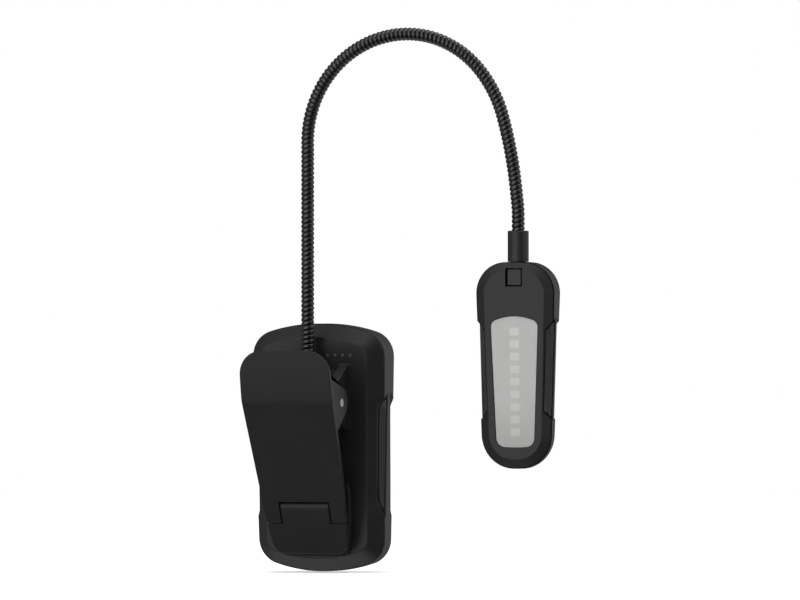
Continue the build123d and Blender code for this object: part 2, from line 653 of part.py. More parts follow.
def lever_skin(depth):
    """The softly bent front of the lever in side view, from its face to a depth behind it, as a face."""
    front = [PLATE_BOTTOM, PLATE_CREASE, PAD_BEND, PAD_TOP]
    back = []
    for y, z in front:
        back.append((y + depth / PLATE_IN.Y if z < PAD_BEND[1] else y + depth, z))
    bends = [(PLATE_CREASE, CREASE_R), (PAD_BEND, PAD_BEND_R), (back[1], CREASE_R - depth),
             (back[2], PAD_BEND_R - depth)]
    return yz_profile(front + back[::-1], bends)


def behind_lever_front():
    """Everything behind the lever's front face, in side view."""
    front = [PLATE_BOTTOM, PLATE_CREASE, PAD_BEND, PAD_TOP]
    back = [(PAD_THICKNESS, PAD_TOP[1]), (PAD_THICKNESS, PLATE_BOTTOM[1])]
    return yz_profile(front + back, [(PLATE_CREASE, CREASE_R), (PAD_BEND, PAD_BEND_R)])


def make_lever():
    """The lever: a bent plate with two flanges, ears on the pivot pin and a notch for the jaw foot."""
    whole = through_y(lever_outline(0), -ROOMY / 2, ROOMY / 2)
    plate = bar(lever_skin(PLATE_WALL), 2 * LEVER_CREASE_HALF) & whole

    # Flanges with their ears
    deep = FLANGE_DEPTH / PLATE_IN.Y
    high_y = lever_front(EAR_HIGH_Z)
    side = yz_profile([PLATE_BOTTOM, PLATE_CREASE, PAD_BEND, (high_y, EAR_HIGH_Z),
                       (high_y + PLATE_WALL, EAR_HIGH_Z), (lever_front(EAR_LOW_Z) + deep, EAR_LOW_Z),
                       (lever_front(FLANGE_DEEP_Z) + deep, FLANGE_DEEP_Z),
                       (PLATE_BOTTOM[0] + FLANGE_FOOT_DEPTH, PLATE_BOTTOM[1])])
    ear = yz_hull((PIVOT_Y, PIVOT_Z), EAR_R,
                  [(lever_front(EAR_LOW_Z) + EAR_ROOT_FRONT, EAR_LOW_Z),
                   (lever_front(EAR_HIGH_Z) + EAR_ROOT_FRONT, EAR_HIGH_Z),
                   (lever_front(EAR_HIGH_Z) + EAR_ROOT_BACK, EAR_HIGH_Z),
                   (lever_front(EAR_LOW_Z) + EAR_ROOT_BACK, EAR_LOW_Z)])
    wide = 2 * LEVER_CREASE_HALF
    rails = (bar(side, wide) + bar(ear, wide)) & bar(behind_lever_front(), wide)
    outside = through_y(lever_outline(FLANGE_INSET), -ROOMY / 2, ROOMY / 2)
    inside = through_y(lever_outline(FLANGE_INSET + FLANGE_WALL), -ROOMY / 2, ROOMY / 2)
    lever = plate + (rails & (outside - inside))

    # Round bosses that close the play between ears and lugs, and blocks for the jaw foot's pin
    near = LUG_INNER_X + LUG_THICKNESS + EAR_BOSS_GAP
    far = LEVER_CREASE_HALF - FLANGE_INSET - FLANGE_WALL / 2
    for low_x, high_x in ((near, far), (-far, -near)):
        lever = lever + rod_x(EAR_BOSS_R, low_x, high_x, PIVOT_Y, PIVOT_Z)
    half = FOOT_PIN_BLOCK_HALF
    into_plate = PLATE_WALL / 2
    block = yz_profile([plate_point(-half, into_plate), plate_point(half, into_plate),
                        plate_point(half, FOOT_PIN_BLOCK_DEPTH), plate_point(-half, FOOT_PIN_BLOCK_DEPTH)])
    lever = lever + bar(block, LEVER_BOTTOM_HALF - FLANGE_INSET - FLANGE_WALL / 2)

    # Notch for the tongue of the jaw foot
    reach = KNUCKLE_R + KNUCKLE_GAP
    notch = yz_profile([plate_point(-NOTCH_BELOW, -PAST), plate_point(reach, -PAST),
                        plate_point(reach, NOTCH_BEHIND), plate_point(-NOTCH_BELOW, NOTCH_BEHIND)])
    lever = lever - bar(notch, TONGUE_HALF + NOTCH_GAP)
    lever = lever - rod_x(FOOT_PIN_R, -FOOT_PIN_HALF, FOOT_PIN_HALF, FOOT_AXIS_Y, FOOT_AXIS_Z)
    pin_hole = rod_x(PIN_R, -2 * LEVER_CREASE_HALF, 2 * LEVER_CREASE_HALF, PIVOT_Y, PIVOT_Z)
    return lever - pin_hole


def make_jaw_foot():
    """The T-shaped shoe: a knuckled tongue in the lever's notch, a heel behind it and a wide toe."""
    def back(z):
        return panel_y(z) - FOOT_BACK_OUT

    shoulder = plate_point(PLATE_BOTTOM_UP - NOTCH_GAP, 0)
    toe_top = shoulder[1]
    toe_front = plate_point(PLATE_BOTTOM_UP - (PLATE_BOTTOM[1] - FOOT_BOTTOM_Z) / PLATE_UP.Z, 0)
    toe = yz_profile([shoulder, toe_front, (back(FOOT_BOTTOM_Z), FOOT_BOTTOM_Z), (back(toe_top), toe_top)])
    heel_bottom = toe_top - FOOT_JOIN
    heel_front = back(toe_top) - FOOT_HEEL_LOW_DEPTH
    slope_z = FOOT_HEEL_Z - FOOT_HEEL_CHAMFER
    heel = yz_profile([(heel_front, heel_bottom),
                       (back(FOOT_HEEL_MID_Z) - FOOT_HEEL_LOW_DEPTH, FOOT_HEEL_MID_Z),
                       (back(FOOT_HEEL_Z) - FOOT_HEEL_TOP_DEPTH, FOOT_HEEL_Z), (back(slope_z), slope_z),
                       (back(heel_bottom), heel_bottom)])
    outline = [(-FOOT_BOTTOM_HALF, FOOT_BOTTOM_Z), (-FOOT_HALF, toe_top), (-FOOT_HALF, FOOT_HEEL_Z + PAST),
               (FOOT_HALF, FOOT_HEEL_Z + PAST), (FOOT_HALF, toe_top), (FOOT_BOTTOM_HALF, FOOT_BOTTOM_Z)]
    face = make_face(Polyline(*outline, close=True))
    face = fillet([v for v in face.vertices() if v.Y < FOOT_BOTTOM_Z + 0.01], FOOT_CORNER_R)
    whole = through_y(Plane.XZ * face, -ROOMY / 2, ROOMY / 2)
    body = (bar(toe, 2 * FOOT_HALF) + bar(heel, 2 * FOOT_HALF)) & whole

    # The tongue, with its round knuckle on the foot's axis
    tongue = yz_profile([plate_point(PLATE_BOTTOM_UP - FOOT_JOIN, 0), plate_point(0, 0),
                         (FOOT_AXIS_Y, FOOT_AXIS_Z),
                         (heel_front + FOOT_JOIN, FOOT_AXIS_Z - KNUCKLE_R / 2),
                         (heel_front + FOOT_JOIN, heel_bottom)])
    body = body + bar(tongue, TONGUE_HALF)
    body = body + rod_x(KNUCKLE_R, -TONGUE_HALF, TONGUE_HALF, FOOT_AXIS_Y, FOOT_AXIS_Z)
    pin_hole = FOOT_PIN_R + FOOT_PIN_CLEARANCE
    return body - rod_x(pin_hole, -FOOT_HALF, FOOT_HALF, FOOT_AXIS_Y, FOOT_AXIS_Z)


def make_jaw_grip():
    """The ribbed rubber that lines the back of the jaw foot."""
    sheet = RectangleRounded(2 * JAW_GRIP_HALF_WIDTH, JAW_GRIP_TOP - JAW_GRIP_BOTTOM, PAD_CORNER_R)
    face_out = PAD_THICKNESS * cos(radians(PANEL_TILT)) + JAW_CLOSED_GAP
    back_out = FOOT_BACK_OUT * cos(radians(PANEL_TILT))
    middle = (JAW_GRIP_TOP + JAW_GRIP_BOTTOM) / 2
    grip = PANEL.location * Pos(0, middle, face_out) * extrude(sheet, amount=back_out - face_out)
    step = (JAW_GRIP_TOP - JAW_GRIP_BOTTOM) / (JAW_GRIP_GROOVES + 1)
    for n in range(1, JAW_GRIP_GROOVES + 1):
        groove = Rot(45, 0, 0) * Box(2 * (JAW_GRIP_HALF_WIDTH + PAST), JAW_GRIP_GROOVE, JAW_GRIP_GROOVE)
        grip = grip - PANEL.location * Pos(0, JAW_GRIP_BOTTOM + n * step, face_out) * groove
    return grip


# The torsion spring round the pivot pin


def tangent_angle(target, radius, way):
    """The angle on the coil, in the YZ plane, where a straight leg to target leaves it."""
    dy, dz = target[0] - PIVOT_Y, target[1] - PIVOT_Z
    return atan2(dz, dy) + way * acos(radius / hypot(dy, dz))


def biarc(start, start_way, end, end_way):
    """Two arcs that join start to end, leaving and arriving along the given directions."""
    gap = end - start
    both = start_way + end_way
    a = 2 * (1 - start_way.dot(end_way))
    b = 2 * gap.dot(both)
    c = -gap.dot(gap)
    run = (-b + sqrt(b * b - 4 * a * c)) / (2 * a)
    first_corner = start + start_way * run
    last_corner = end - end_way * run
    meet = (first_corner + last_corner) * 0.5
    way = (last_corner - first_corner).normalized()
    first = TangentArc(start, meet, tangent=start_way)
    return [first, TangentArc(meet, end, tangent=way)]


def make_torsion_spring():
    coil_r = PIN_R + SPRING_BORE_CLEARANCE + SPRING_WIRE_R
    pitch = 2 * SPRING_WIRE_R + SPRING_COIL_GAP
    stand_off = SPRING_WIRE_R + SPRING_SEAT_GAP
    body_target = (panel_y(SPRING_BODY_LEG_Z) - NECK_BOSS_OUT - stand_off, SPRING_BODY_LEG_Z)
    lever_target = (lever_front(SPRING_LEVER_LEG_Z) + PLATE_WALL + stand_off, SPRING_LEVER_LEG_Z)
    first = tangent_angle(body_target, coil_r, -1)
    last = tangent_angle(lever_target, coil_r, 1) - 2 * pi * (SPRING_TURNS + 1)
    total = first - last
    rise = pitch / (2 * pi)
    x_start = -rise * total / 2

    def place(turned):
        angle = first - turned
        return Vector(x_start + rise * turned, PIVOT_Y + coil_r * cos(angle), PIVOT_Z + coil_r * sin(angle))

    def heading(turned):
        angle = first - turned
        return Vector(rise, coil_r * sin(angle), -coil_r * cos(angle)).normalized()

    halves = ceil(total / pi)
    turns = [total * n / halves for n in range(halves + 1)]
    slant = sqrt(1 + (rise / coil_r) ** 2)
    body_leg = hypot(body_target[0] - place(0).Y, body_target[1] - place(0).Z) * slant
    lever_leg = hypot(lever_target[0] - place(total).Y, lever_target[1] - place(total).Z) * slant
    edges = [Line(place(0) - heading(0) * body_leg, place(0))]
    for one, two in zip(turns, turns[1:]):
        edges += biarc(place(one), heading(one), place(two), heading(two))
    edges.append(Line(place(total), place(total) + heading(total) * lever_leg))
    path = Wire(edges)
    section = Plane(path @ 0, z_dir=path % 0) * Circle(SPRING_WIRE_R)
    spring = sweep(section, path=path)

    # Least gap between one turn and the next, on points of the coil's centre line
    steps = 240
    points = [place(total * n / steps) for n in range(steps + 1)]
    apart = int(steps * pi / total)
    least = min((p - q).length for i, p in enumerate(points) for q in points[i + apart:])
    print(f"spring: {total / 2 / pi:.2f} turns, least gap to itself {least - 2 * SPRING_WIRE_R:.2f} mm")
    return spring


# The gooseneck


def neck_runs():
    """The neck's centre line as runs in its own plane: start x, z, heading, length and signed radius."""
    runs = []
    x, z, turned, start = 0.0, NECK_START_Z, 0.0, 0.0
    for run in [("line", ARCH_START_Z - NECK_START_Z)] + ARCH_RUNS + [("line", NECK_IN_COLLAR)]:
        if run[0] == "line":
            length, radius, turn = run[1], None, 0.0
            dx, dz = length * sin(turned), length * cos(turned)
        else:
            radius, turn = run[1], radians(run[2])
            length = radius * turn
            dx = radius * (cos(turned) - cos(turned + turn))
            dz = radius * (sin(turned + turn) - sin(turned))
        runs.append((start, length, x, z, turned, radius))
        x, z, turned, start = x + dx, z + dz, turned + turn, start + length
    return runs, start


NECK_RUNS, NECK_LENGTH = neck_runs()
RIB_PITCH = NECK_LENGTH / (NECK_SEGMENTS * RIBS_PER_SEGMENT)
SEGMENT_LENGTH = RIB_PITCH * RIBS_PER_SEGMENT


def neck_at(s):
    """Position and heading of the neck's centre line at a distance along it."""
    start, length, x, z, turned, radius = [r for r in NECK_RUNS if r[0] <= s + 1e-9][-1]
    along = s - start
    if radius is None:
        return Vector(x + along * sin(turned), NECK_OUT_Y, z + along * cos(turned)), turned
    now = turned + along / radius
    out_x = x + radius * (cos(turned) - cos(now))
    out_z = z + radius * (sin(now) - sin(turned))
    return Vector(out_x, NECK_OUT_Y, out_z), now


def neck_plane(s):
    """The plane square to the neck, with a steady X axis across the arch."""
    place, turned = neck_at(s)
    return Plane(place, x_dir=(0, 1, 0), z_dir=(sin(turned), 0, cos(turned)))


def neck_rod(radius, s_low, s_high):
    """A plain round rod along the neck's centre line."""
    edges = []
    for start, length, x, z, turned, bend in NECK_RUNS:
        low, high = max(s_low, start), min(s_high, start + length)
        if high - low < 1e-6:
            continue
        a, m, b = neck_at(low)[0], neck_at((low + high) / 2)[0], neck_at(high - 1e-9)[0]
        edges.append(Line(a, b) if bend is None else ThreePointArc(a, m, b))
    return sweep(neck_plane(s_low) * Circle(radius), path=Wire(edges))


def ribbed_rod(s_low, s_high):
    """The outside of one stretch of hose: four circles to a rib, joined by straight flanks."""
    circles = [(s_low, RIB_VALLEY_R)]
    for n in range(NECK_SEGMENTS * RIBS_PER_SEGMENT):
        s = n * RIB_PITCH
        for share, radius in ((0, RIB_VALLEY_R), (RIB_CREST_FROM, NECK_R), (RIB_CREST_TO, NECK_R),
                              (RIB_FOOT, RIB_VALLEY_R)):
            there = s + share * RIB_PITCH
            if s_low + 0.05 < there < s_high - 0.05:
                circles.append((there, radius))
    circles.append((s_high, RIB_VALLEY_R))
    return loft([neck_plane(s) * Circle(r) for s, r in circles], ruled=True)


def make_neck():
    """Hose segments that hinge on small balls, and the piece of lead inside each."""
    pieces = {}
    for n in range(NECK_SEGMENTS):
        first, last = n == 0, n == NECK_SEGMENTS - 1
        low = n * SEGMENT_LENGTH
        high = low + SEGMENT_LENGTH
        hose_low = low if first else low + JOINT_LIP
        hose_high = high - 1e-6 if last else high - JOINT_RELIEF
        hose = ribbed_rod(hose_low, hose_high)
        if not last:
            hose = hose + neck_plane(high).location * Sphere(JOINT_BALL_R)
        bore_low = low if first else low - 1
        bore_high = high - 1e-6 if last else high + JOINT_BALL_R + 1
        hose = hose - neck_rod(NECK_BORE_R, bore_low, bore_high)
        if not first:
            hose = hose - neck_plane(low).location * Sphere(JOINT_BALL_R + JOINT_BALL_CLEARANCE)
        pieces[f"neck_hose_{n + 1:02d}"] = hose
        lead_low = low if first else low + JOINT_BALL_R + LEAD_JOINT_GAP
        lead_high = high - 1e-6 if last else high - LEAD_JOINT_GAP
        pieces[f"neck_lead_{n + 1:02d}"] = neck_rod(LEAD_R, lead_low, lead_high)
    return pieces


NECK_END = neck_at(NECK_LENGTH - 1e-9)[0]
HEAD_X = NECK_END.X
COLLAR_TOP_Z = NECK_END.Z + NECK_IN_COLLAR
HEAD_TOP_Z = COLLAR_TOP_Z - COLLAR_LENGTH
HEAD_BOTTOM_Z = HEAD_TOP_Z - HEAD_HEIGHT
HEAD_MIDDLE_Z = (HEAD_TOP_Z + HEAD_BOTTOM_Z) / 2
HEAD_FACE = Plane((HEAD_X, NECK_OUT_Y - HEAD_MID_HALF, HEAD_MIDDLE_Z), x_dir=(1, 0, 0),
                  z_dir=(0, -cos(radians(HEAD_TILT)), -sin(radians(HEAD_TILT))))
HEAD_BACK = Plane((HEAD_X, NECK_OUT_Y + HEAD_MID_HALF, HEAD_MIDDLE_Z), x_dir=(1, 0, 0),
                  z_dir=(0, cos(radians(HEAD_TILT)), -sin(radians(HEAD_TILT))))


def head_half_depth(z):
    """Half the head's thickness at a height."""
    return HEAD_MID_HALF + (z - HEAD_MIDDLE_Z) * tan(radians(HEAD_TILT))


def make_neck_ends():
    """The ferrule in the neck boss, and the lead from the neck to the circuit board."""
    bottom = NECK_BOSS_TOP_Z - FERRULE_LENGTH
    ferrule = rod_z(FERRULE_R, bottom, NECK_BOSS_TOP_Z - FERRULE_SINK, 0, NECK_OUT_Y)
    ferrule = ferrule - rod_z(NECK_R, bottom - PAST, NECK_BOSS_TOP_Z + PAST, 0, NECK_OUT_Y)
    points = [(0, NECK_OUT_Y, NECK_START_Z), (0, NECK_OUT_Y, LEAD_TURN_Z), (0, BOARD_FRONT_Y, LEAD_TURN_Z)]
    path = FilletPolyline(*points, radius=BODY_LEAD_BEND_R)
    lead = sweep(Plane(path @ 0, z_dir=path % 0) * Circle(LEAD_R), path=path)
    return {"neck_ferrule": ferrule, "body_lead": lead}


# The lamp head


def head_wedge(inset):
    """The head's outer form, or the room inside it when inset is the wall."""
    face = rounded_trapezoid(HEAD_TOP_WIDTH / 2 - inset, HEAD_BOTTOM_WIDTH / 2 - inset,
                             HEAD_TOP_Z - inset, HEAD_BOTTOM_Z + inset,
                             HEAD_TOP_ARCH_R - inset, HEAD_BOTTOM_ARCH_R - inset,
                             HEAD_TOP_CORNER_R - inset, HEAD_BOTTOM_CORNER_R - inset)
    face = Pos(HEAD_X, 0, 0) * face
    slant = hypot(HEAD_CHAMFER_WIDE, HEAD_CHAMFER_DEEP)
    deep = HEAD_CHAMFER_DEEP - inset * (1 + (HEAD_CHAMFER_DEEP - slant) / HEAD_CHAMFER_WIDE)
    deep = max(deep, HEAD_INNER_CHAMFER)
    wide = deep * HEAD_CHAMFER_WIDE / HEAD_CHAMFER_DEEP
    return wedge(face, HEAD_FACE.offset(-inset), HEAD_BACK.offset(-inset), wide, deep, wide, deep)


def head_corner(z, front):
    """The long corner between the head's side wall and chamfer, on its +X side, from the head's axis."""
    top_z = HEAD_TOP_Z - arch_drop(HEAD_TOP_ARCH_R, HEAD_TOP_WIDTH / 2)
    bottom_z = HEAD_BOTTOM_Z + arch_drop(HEAD_BOTTOM_ARCH_R, HEAD_BOTTOM_WIDTH / 2)
    share = (z - bottom_z) / (top_z - bottom_z)
    half = (HEAD_BOTTOM_WIDTH + (HEAD_TOP_WIDTH - HEAD_BOTTOM_WIDTH) * share) / 2
    depth = head_half_depth(z) - HEAD_CHAMFER_DEEP
    return Vector(half, NECK_OUT_Y - depth if front else NECK_OUT_Y + depth, z)


def window_outline(grow):
    """The lamp window, in the head face's own plane, grown all round."""
    up = (HEAD_TOP_Z - HEAD_BOTTOM_Z) / 2
    face = rounded_trapezoid(WINDOW_TOP_HALF + grow, WINDOW_BOTTOM_HALF + grow,
                             up - WINDOW_TOP + grow, up - WINDOW_BOTTOM - grow,
                             WINDOW_TOP_ARCH_R + grow, WINDOW_BOTTOM_ARCH_R + grow,
                             WINDOW_TOP_CORNER_R + grow, WINDOW_BOTTOM_CORNER_R + grow)
    return Plane.XZ.location.inverse() * face


def inwards(face, amount):
    """A face drawn in XY, drawn out away from the viewer of the head."""
    return extrude(face, amount=amount, dir=(0, 0, -1))


def in_head(shape, depth):
    """Place a shape drawn in XY on the head's face plane, at a depth behind the face."""
    return HEAD_FACE.location * Pos(0, 0, -depth) * shape


def head_local_z(z):
    """Height on the head's face of a point z below the head's top."""
    return (HEAD_TOP_Z - HEAD_BOTTOM_Z) / 2 - z


def make_head():
    outer = head_wedge(0)
    room = head_wedge(HEAD_WALL)
    parting = HEAD_FACE.offset(-HEAD_CHAMFER_DEEP - PARTING_SETBACK)
    frame = (outer - room) - beyond(Plane(parting.origin, parting.x_dir, -parting.z_dir))
    cover = (outer - room) - beyond(parting)

    # A shadow groove runs round the parting, in the cover's edge
    groove_end = parting.offset(-HEAD_GROOVE)
    groove = beyond(groove_end) - head_wedge(HEAD_GROOVE_DEPTH)
    cover = cover - groove
    pieces = {}

    # Screw posts: bosses on the frame and sunk heads in the rear cover
    screws = []
    for x, down in HEAD_SCREW_PLACES:
        z = HEAD_TOP_Z - down
        half = head_half_depth(z)
        front_y = NECK_OUT_Y - half + HEAD_POST_ROOT
        back_y = NECK_OUT_Y + half
        meet = NECK_OUT_Y - half + HEAD_CHAMFER_DEEP + HEAD_POST_PAST
        frame = frame + rod_y(HEAD_POST_R, front_y, meet, HEAD_X + x, z)
        frame = frame - rod_y(HEAD_SCREW_R, front_y + HEAD_SCREW_TIP_GAP, meet + PAST, HEAD_X + x, z)
        cover = cover + rod_y(HEAD_POST_R, meet, back_y - HEAD_POST_ROOT, HEAD_X + x, z)
        shank_hole = HEAD_SCREW_R + HEAD_HOLE_CLEARANCE
        head_hole = HEAD_SCREW_HEAD_R + HEAD_HOLE_CLEARANCE
        cover = cover - rod_y(shank_hole, meet - PAST, back_y + PAST, HEAD_X + x, z)
        seat = back_y - SCREW_SINK - HEAD_SCREW_HEAD
        cover = cover - rod_y(head_hole, seat, back_y + PAST, HEAD_X + x, z)
        tip = front_y + HEAD_SCREW_TIP_GAP
        screws.append(screw_y(HEAD_SCREW_R, HEAD_SCREW_HEAD_R, HEAD_SCREW_HEAD, seat, tip, HEAD_X + x, z))
    pieces["head_screws"] = screws

    # The window and its opal lens, which seats from behind on a flange
    frame = frame - in_head(extrude(window_outline(0), amount=2 * HEAD_WALL + PAST, both=True), 0)
    lens = in_head(inwards(window_outline(-LENS_GAP), HEAD_WALL - LENS_RECESS), LENS_RECESS)
    flange = in_head(inwards(window_outline(LENS_FLANGE), LENS_FLANGE_THICKNESS), HEAD_WALL)
    pieces["diffuser_lens"] = lens + flange

    # The lamp board and its row of lamps
    board_face = rounded_trapezoid(WINDOW_TOP_HALF, WINDOW_BOTTOM_HALF,
                                   head_local_z(WINDOW_TOP - LED_BOARD_ABOVE),
                                   head_local_z(WINDOW_BOTTOM - LED_BOARD_SHORT),
                                   WINDOW_TOP_ARCH_R, WINDOW_BOTTOM_ARCH_R,
                                   WINDOW_TOP_CORNER_R, WINDOW_BOTTOM_CORNER_R)
    board_face = Plane.XZ.location.inverse() * board_face
    board_depth = LED_DEPTH + LED_HEIGHT
    pieces["led_board"] = in_head(inwards(board_face, LED_BOARD_THICKNESS), board_depth)
    leds = []
    for n in range(LED_COUNT):
        up = head_local_z(LED_FIRST + n * LED_PITCH)
        led = Pos(0, up, -LED_HEIGHT / 2) * Box(LED_SIZE[0], LED_SIZE[1], LED_HEIGHT)
        leds.append(in_head(led, LED_DEPTH))
    pieces["leds"] = leds

    # The collar: a sleeve on the neck, a stem through the head's top and a tongue that shows in a slot
    top = HEAD_TOP_Z
    face_y = NECK_OUT_Y - head_half_depth(top - TONGUE_BOTTOM)
    collar = rod_z(COLLAR_R, top, COLLAR_TOP_Z, HEAD_X, NECK_OUT_Y)
    collar = chamfer(collar.edges().sort_by(Axis.Z)[-1], COLLAR_CHAMFER)
    stem_bottom = top - TONGUE_BOTTOM - STEM_PAST_TONGUE
    collar = collar + rod_z(COLLAR_STEM_R, stem_bottom, top + STEM_INTO_COLLAR, HEAD_X, NECK_OUT_Y)
    tongue_front = face_y + TONGUE_RECESS
    tongue_back = NECK_OUT_Y + COLLAR_STEM_R
    tongue_height = TONGUE_BOTTOM - TONGUE_TOP + 2 * TONGUE_FOOT
    tongue = Box(TONGUE_WIDTH, tongue_back - tongue_front, tongue_height)
    tongue_z = top - (TONGUE_TOP + TONGUE_BOTTOM) / 2
    collar = collar + Pos(HEAD_X, (tongue_back + tongue_front) / 2, tongue_z) * tongue
    collar = collar - rod_z(NECK_R, NECK_END.Z, COLLAR_TOP_Z + PAST, HEAD_X, NECK_OUT_Y)
    lead_hole = LEAD_R + COLLAR_LEAD_CLEARANCE
    collar = collar - rod_z(lead_hole, stem_bottom - PAST, NECK_END.Z + PAST, HEAD_X, NECK_OUT_Y)
    pieces["neck_collar"] = collar
    slot = Box(TONGUE_WIDTH + 2 * TONGUE_SLOT_GAP, ROOMY, tongue_height + 2 * TONGUE_FOOT)
    slot = Pos(HEAD_X, NECK_OUT_Y - ROOMY / 2, tongue_z) * slot
    frame = frame - slot
    cover = cover - slot
    stem_room = COLLAR_STEM_R + STEM_CLEARANCE
    stem_hole = rod_z(stem_room, top - STEM_HOLE_DEPTH, top + PAST, HEAD_X, NECK_OUT_Y)
    cover = cover - stem_hole
    frame = frame - stem_hole

    # Facets and strips on the four long corners
    here = Pos(HEAD_X, 0, 0)
    slope = HEAD_CHAMFER_DEEP / HEAD_CHAMFER_WIDE
    for front, side in ((True, "front"), (False, "rear")):
        facets, pockets, strips = strip_set(HEAD_STRIP, head_corner, front, slope, here)
        for cutter in facets + pockets:
            frame = frame - cutter
            cover = cover - cutter
        pieces[f"head_strip_{side}_right"] = strips[0]
        pieces[f"head_strip_{side}_left"] = strips[1]

    # The lead from the collar down to the lamp board
    lead_end = top - WINDOW_TOP - HEAD_LEAD_END
    board_y = NECK_OUT_Y - head_half_depth(lead_end) + board_depth + LED_BOARD_THICKNESS
    lead_y = board_y + LEAD_R + HEAD_LEAD_GAP
    points = [(HEAD_X, NECK_OUT_Y, NECK_END.Z), (HEAD_X, NECK_OUT_Y, stem_bottom - HEAD_LEAD_TURN),
              (HEAD_X, lead_y, top - WINDOW_TOP - HEAD_LEAD_TURN), (HEAD_X, lead_y, lead_end)]
    path = FilletPolyline(*points, radius=HEAD_LEAD_BEND_R)
    pieces["head_lead"] = sweep(Plane(path @ 0, z_dir=path % 0) * Circle(LEAD_R), path=path)
    pieces["head_front_frame"] = frame
    pieces["head_rear_cover"] = cover
    return pieces


def make_all():
    pieces = make_body()
    pieces.update(make_button())
    pieces.update(make_neck_ends())
    pieces.update(make_neck())
    pieces.update(make_head())
    ear_outer = LEVER_CREASE_HALF - FLANGE_INSET
    pieces["clip_lever"] = make_lever()
    pieces["clip_pivot_pin"] = rod_x(PIN_R, -ear_outer, ear_outer, PIVOT_Y, PIVOT_Z)
    pieces["torsion_spring"] = make_torsion_spring()
    pieces["jaw_foot"] = make_jaw_foot()
    pieces["jaw_foot_pin"] = rod_x(FOOT_PIN_R, -FOOT_PIN_HALF, FOOT_PIN_HALF, FOOT_AXIS_Y, FOOT_AXIS_Z)
    pieces["jaw_grip"] = make_jaw_grip()
    return pieces


def main():
    os.makedirs("parts", exist_ok=True)
    for name, shape in make_all().items():
        solids = [s for item in (shape if isinstance(shape, list) else [shape]) for s in item.solids()]
        export_step(Compound(children=solids) if len(solids) > 1 else solids[0], f"parts/{name}.step")
    print(f"rib pitch {RIB_PITCH:.3f} mm, segment {SEGMENT_LENGTH:.2f} mm, neck {NECK_LENGTH:.1f} mm")
    print(f"head at x {HEAD_X:.2f}, top z {HEAD_TOP_Z:.2f}, bottom z {HEAD_BOTTOM_Z:.2f}")
    print(f"pivot y {PIVOT_Y:.3f} z {PIVOT_Z:.3f}; foot axis y {FOOT_AXIS_Y:.3f} z {FOOT_AXIS_Z:.3f}")
    for n in range(1, NECK_SEGMENTS):
        place, turned = neck_at(n * SEGMENT_LENGTH)
        print(f"neck joint {n}: ({place.X:.3f}, {place.Y:.3f}, {place.Z:.3f}) turned {degrees(turned):.2f}")


main()
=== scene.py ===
# %% [markdown]
# # A clip-on book light in black plastic and black ribbed metal
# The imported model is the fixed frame: every piece of it is already in place and at its real size.
# This lesson dresses it for a picture. It rounds the edges that a moulding has, winds the
# gooseneck as a real spiral, gives each surface its own finish and sets a soft studio round it.

# %% Load the frame
import json
from math import cos, degrees, pi, radians, sin

import bmesh
import bpy
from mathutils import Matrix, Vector


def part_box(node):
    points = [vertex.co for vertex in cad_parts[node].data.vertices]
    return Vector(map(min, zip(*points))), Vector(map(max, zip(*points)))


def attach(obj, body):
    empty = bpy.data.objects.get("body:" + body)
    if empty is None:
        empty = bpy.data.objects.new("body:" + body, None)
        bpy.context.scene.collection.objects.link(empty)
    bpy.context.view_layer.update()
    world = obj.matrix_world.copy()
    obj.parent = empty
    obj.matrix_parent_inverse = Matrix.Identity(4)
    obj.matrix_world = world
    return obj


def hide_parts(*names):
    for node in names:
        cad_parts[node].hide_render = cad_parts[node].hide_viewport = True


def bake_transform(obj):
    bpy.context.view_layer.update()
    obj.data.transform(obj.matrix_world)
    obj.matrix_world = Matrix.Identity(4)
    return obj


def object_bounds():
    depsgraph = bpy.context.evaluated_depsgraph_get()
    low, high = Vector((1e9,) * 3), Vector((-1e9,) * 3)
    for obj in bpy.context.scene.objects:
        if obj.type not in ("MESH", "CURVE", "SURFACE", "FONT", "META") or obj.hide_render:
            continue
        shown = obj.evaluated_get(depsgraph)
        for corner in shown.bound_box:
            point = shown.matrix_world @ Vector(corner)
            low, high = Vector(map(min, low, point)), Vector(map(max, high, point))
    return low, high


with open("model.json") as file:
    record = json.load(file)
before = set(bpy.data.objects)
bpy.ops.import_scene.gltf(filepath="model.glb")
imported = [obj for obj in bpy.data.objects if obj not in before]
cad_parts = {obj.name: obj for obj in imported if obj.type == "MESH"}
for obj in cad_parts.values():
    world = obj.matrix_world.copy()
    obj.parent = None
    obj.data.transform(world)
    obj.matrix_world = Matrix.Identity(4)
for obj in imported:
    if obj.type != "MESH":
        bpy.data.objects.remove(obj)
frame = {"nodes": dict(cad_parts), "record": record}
CAD_BOX = [list(corner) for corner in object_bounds()]
MM = 0.001
nodes = frame["nodes"]
body_of_node = {n: b for b, members in frame["record"]["behaviour"]["bodies"].items() for n in members}
print("pieces in the frame:", len(nodes))

# %% [markdown]
# ## The camera
# The picture was taken from 22 degrees to the right of the clip's front, at the height of the
# lamp head, from far away, so that upright lines stay upright and near and far parts look the same
# size. An orthographic camera could do this, but a long lens far off keeps the trace of perspective
# that a real lens has. The middle of the picture is a point between the clip and the head.

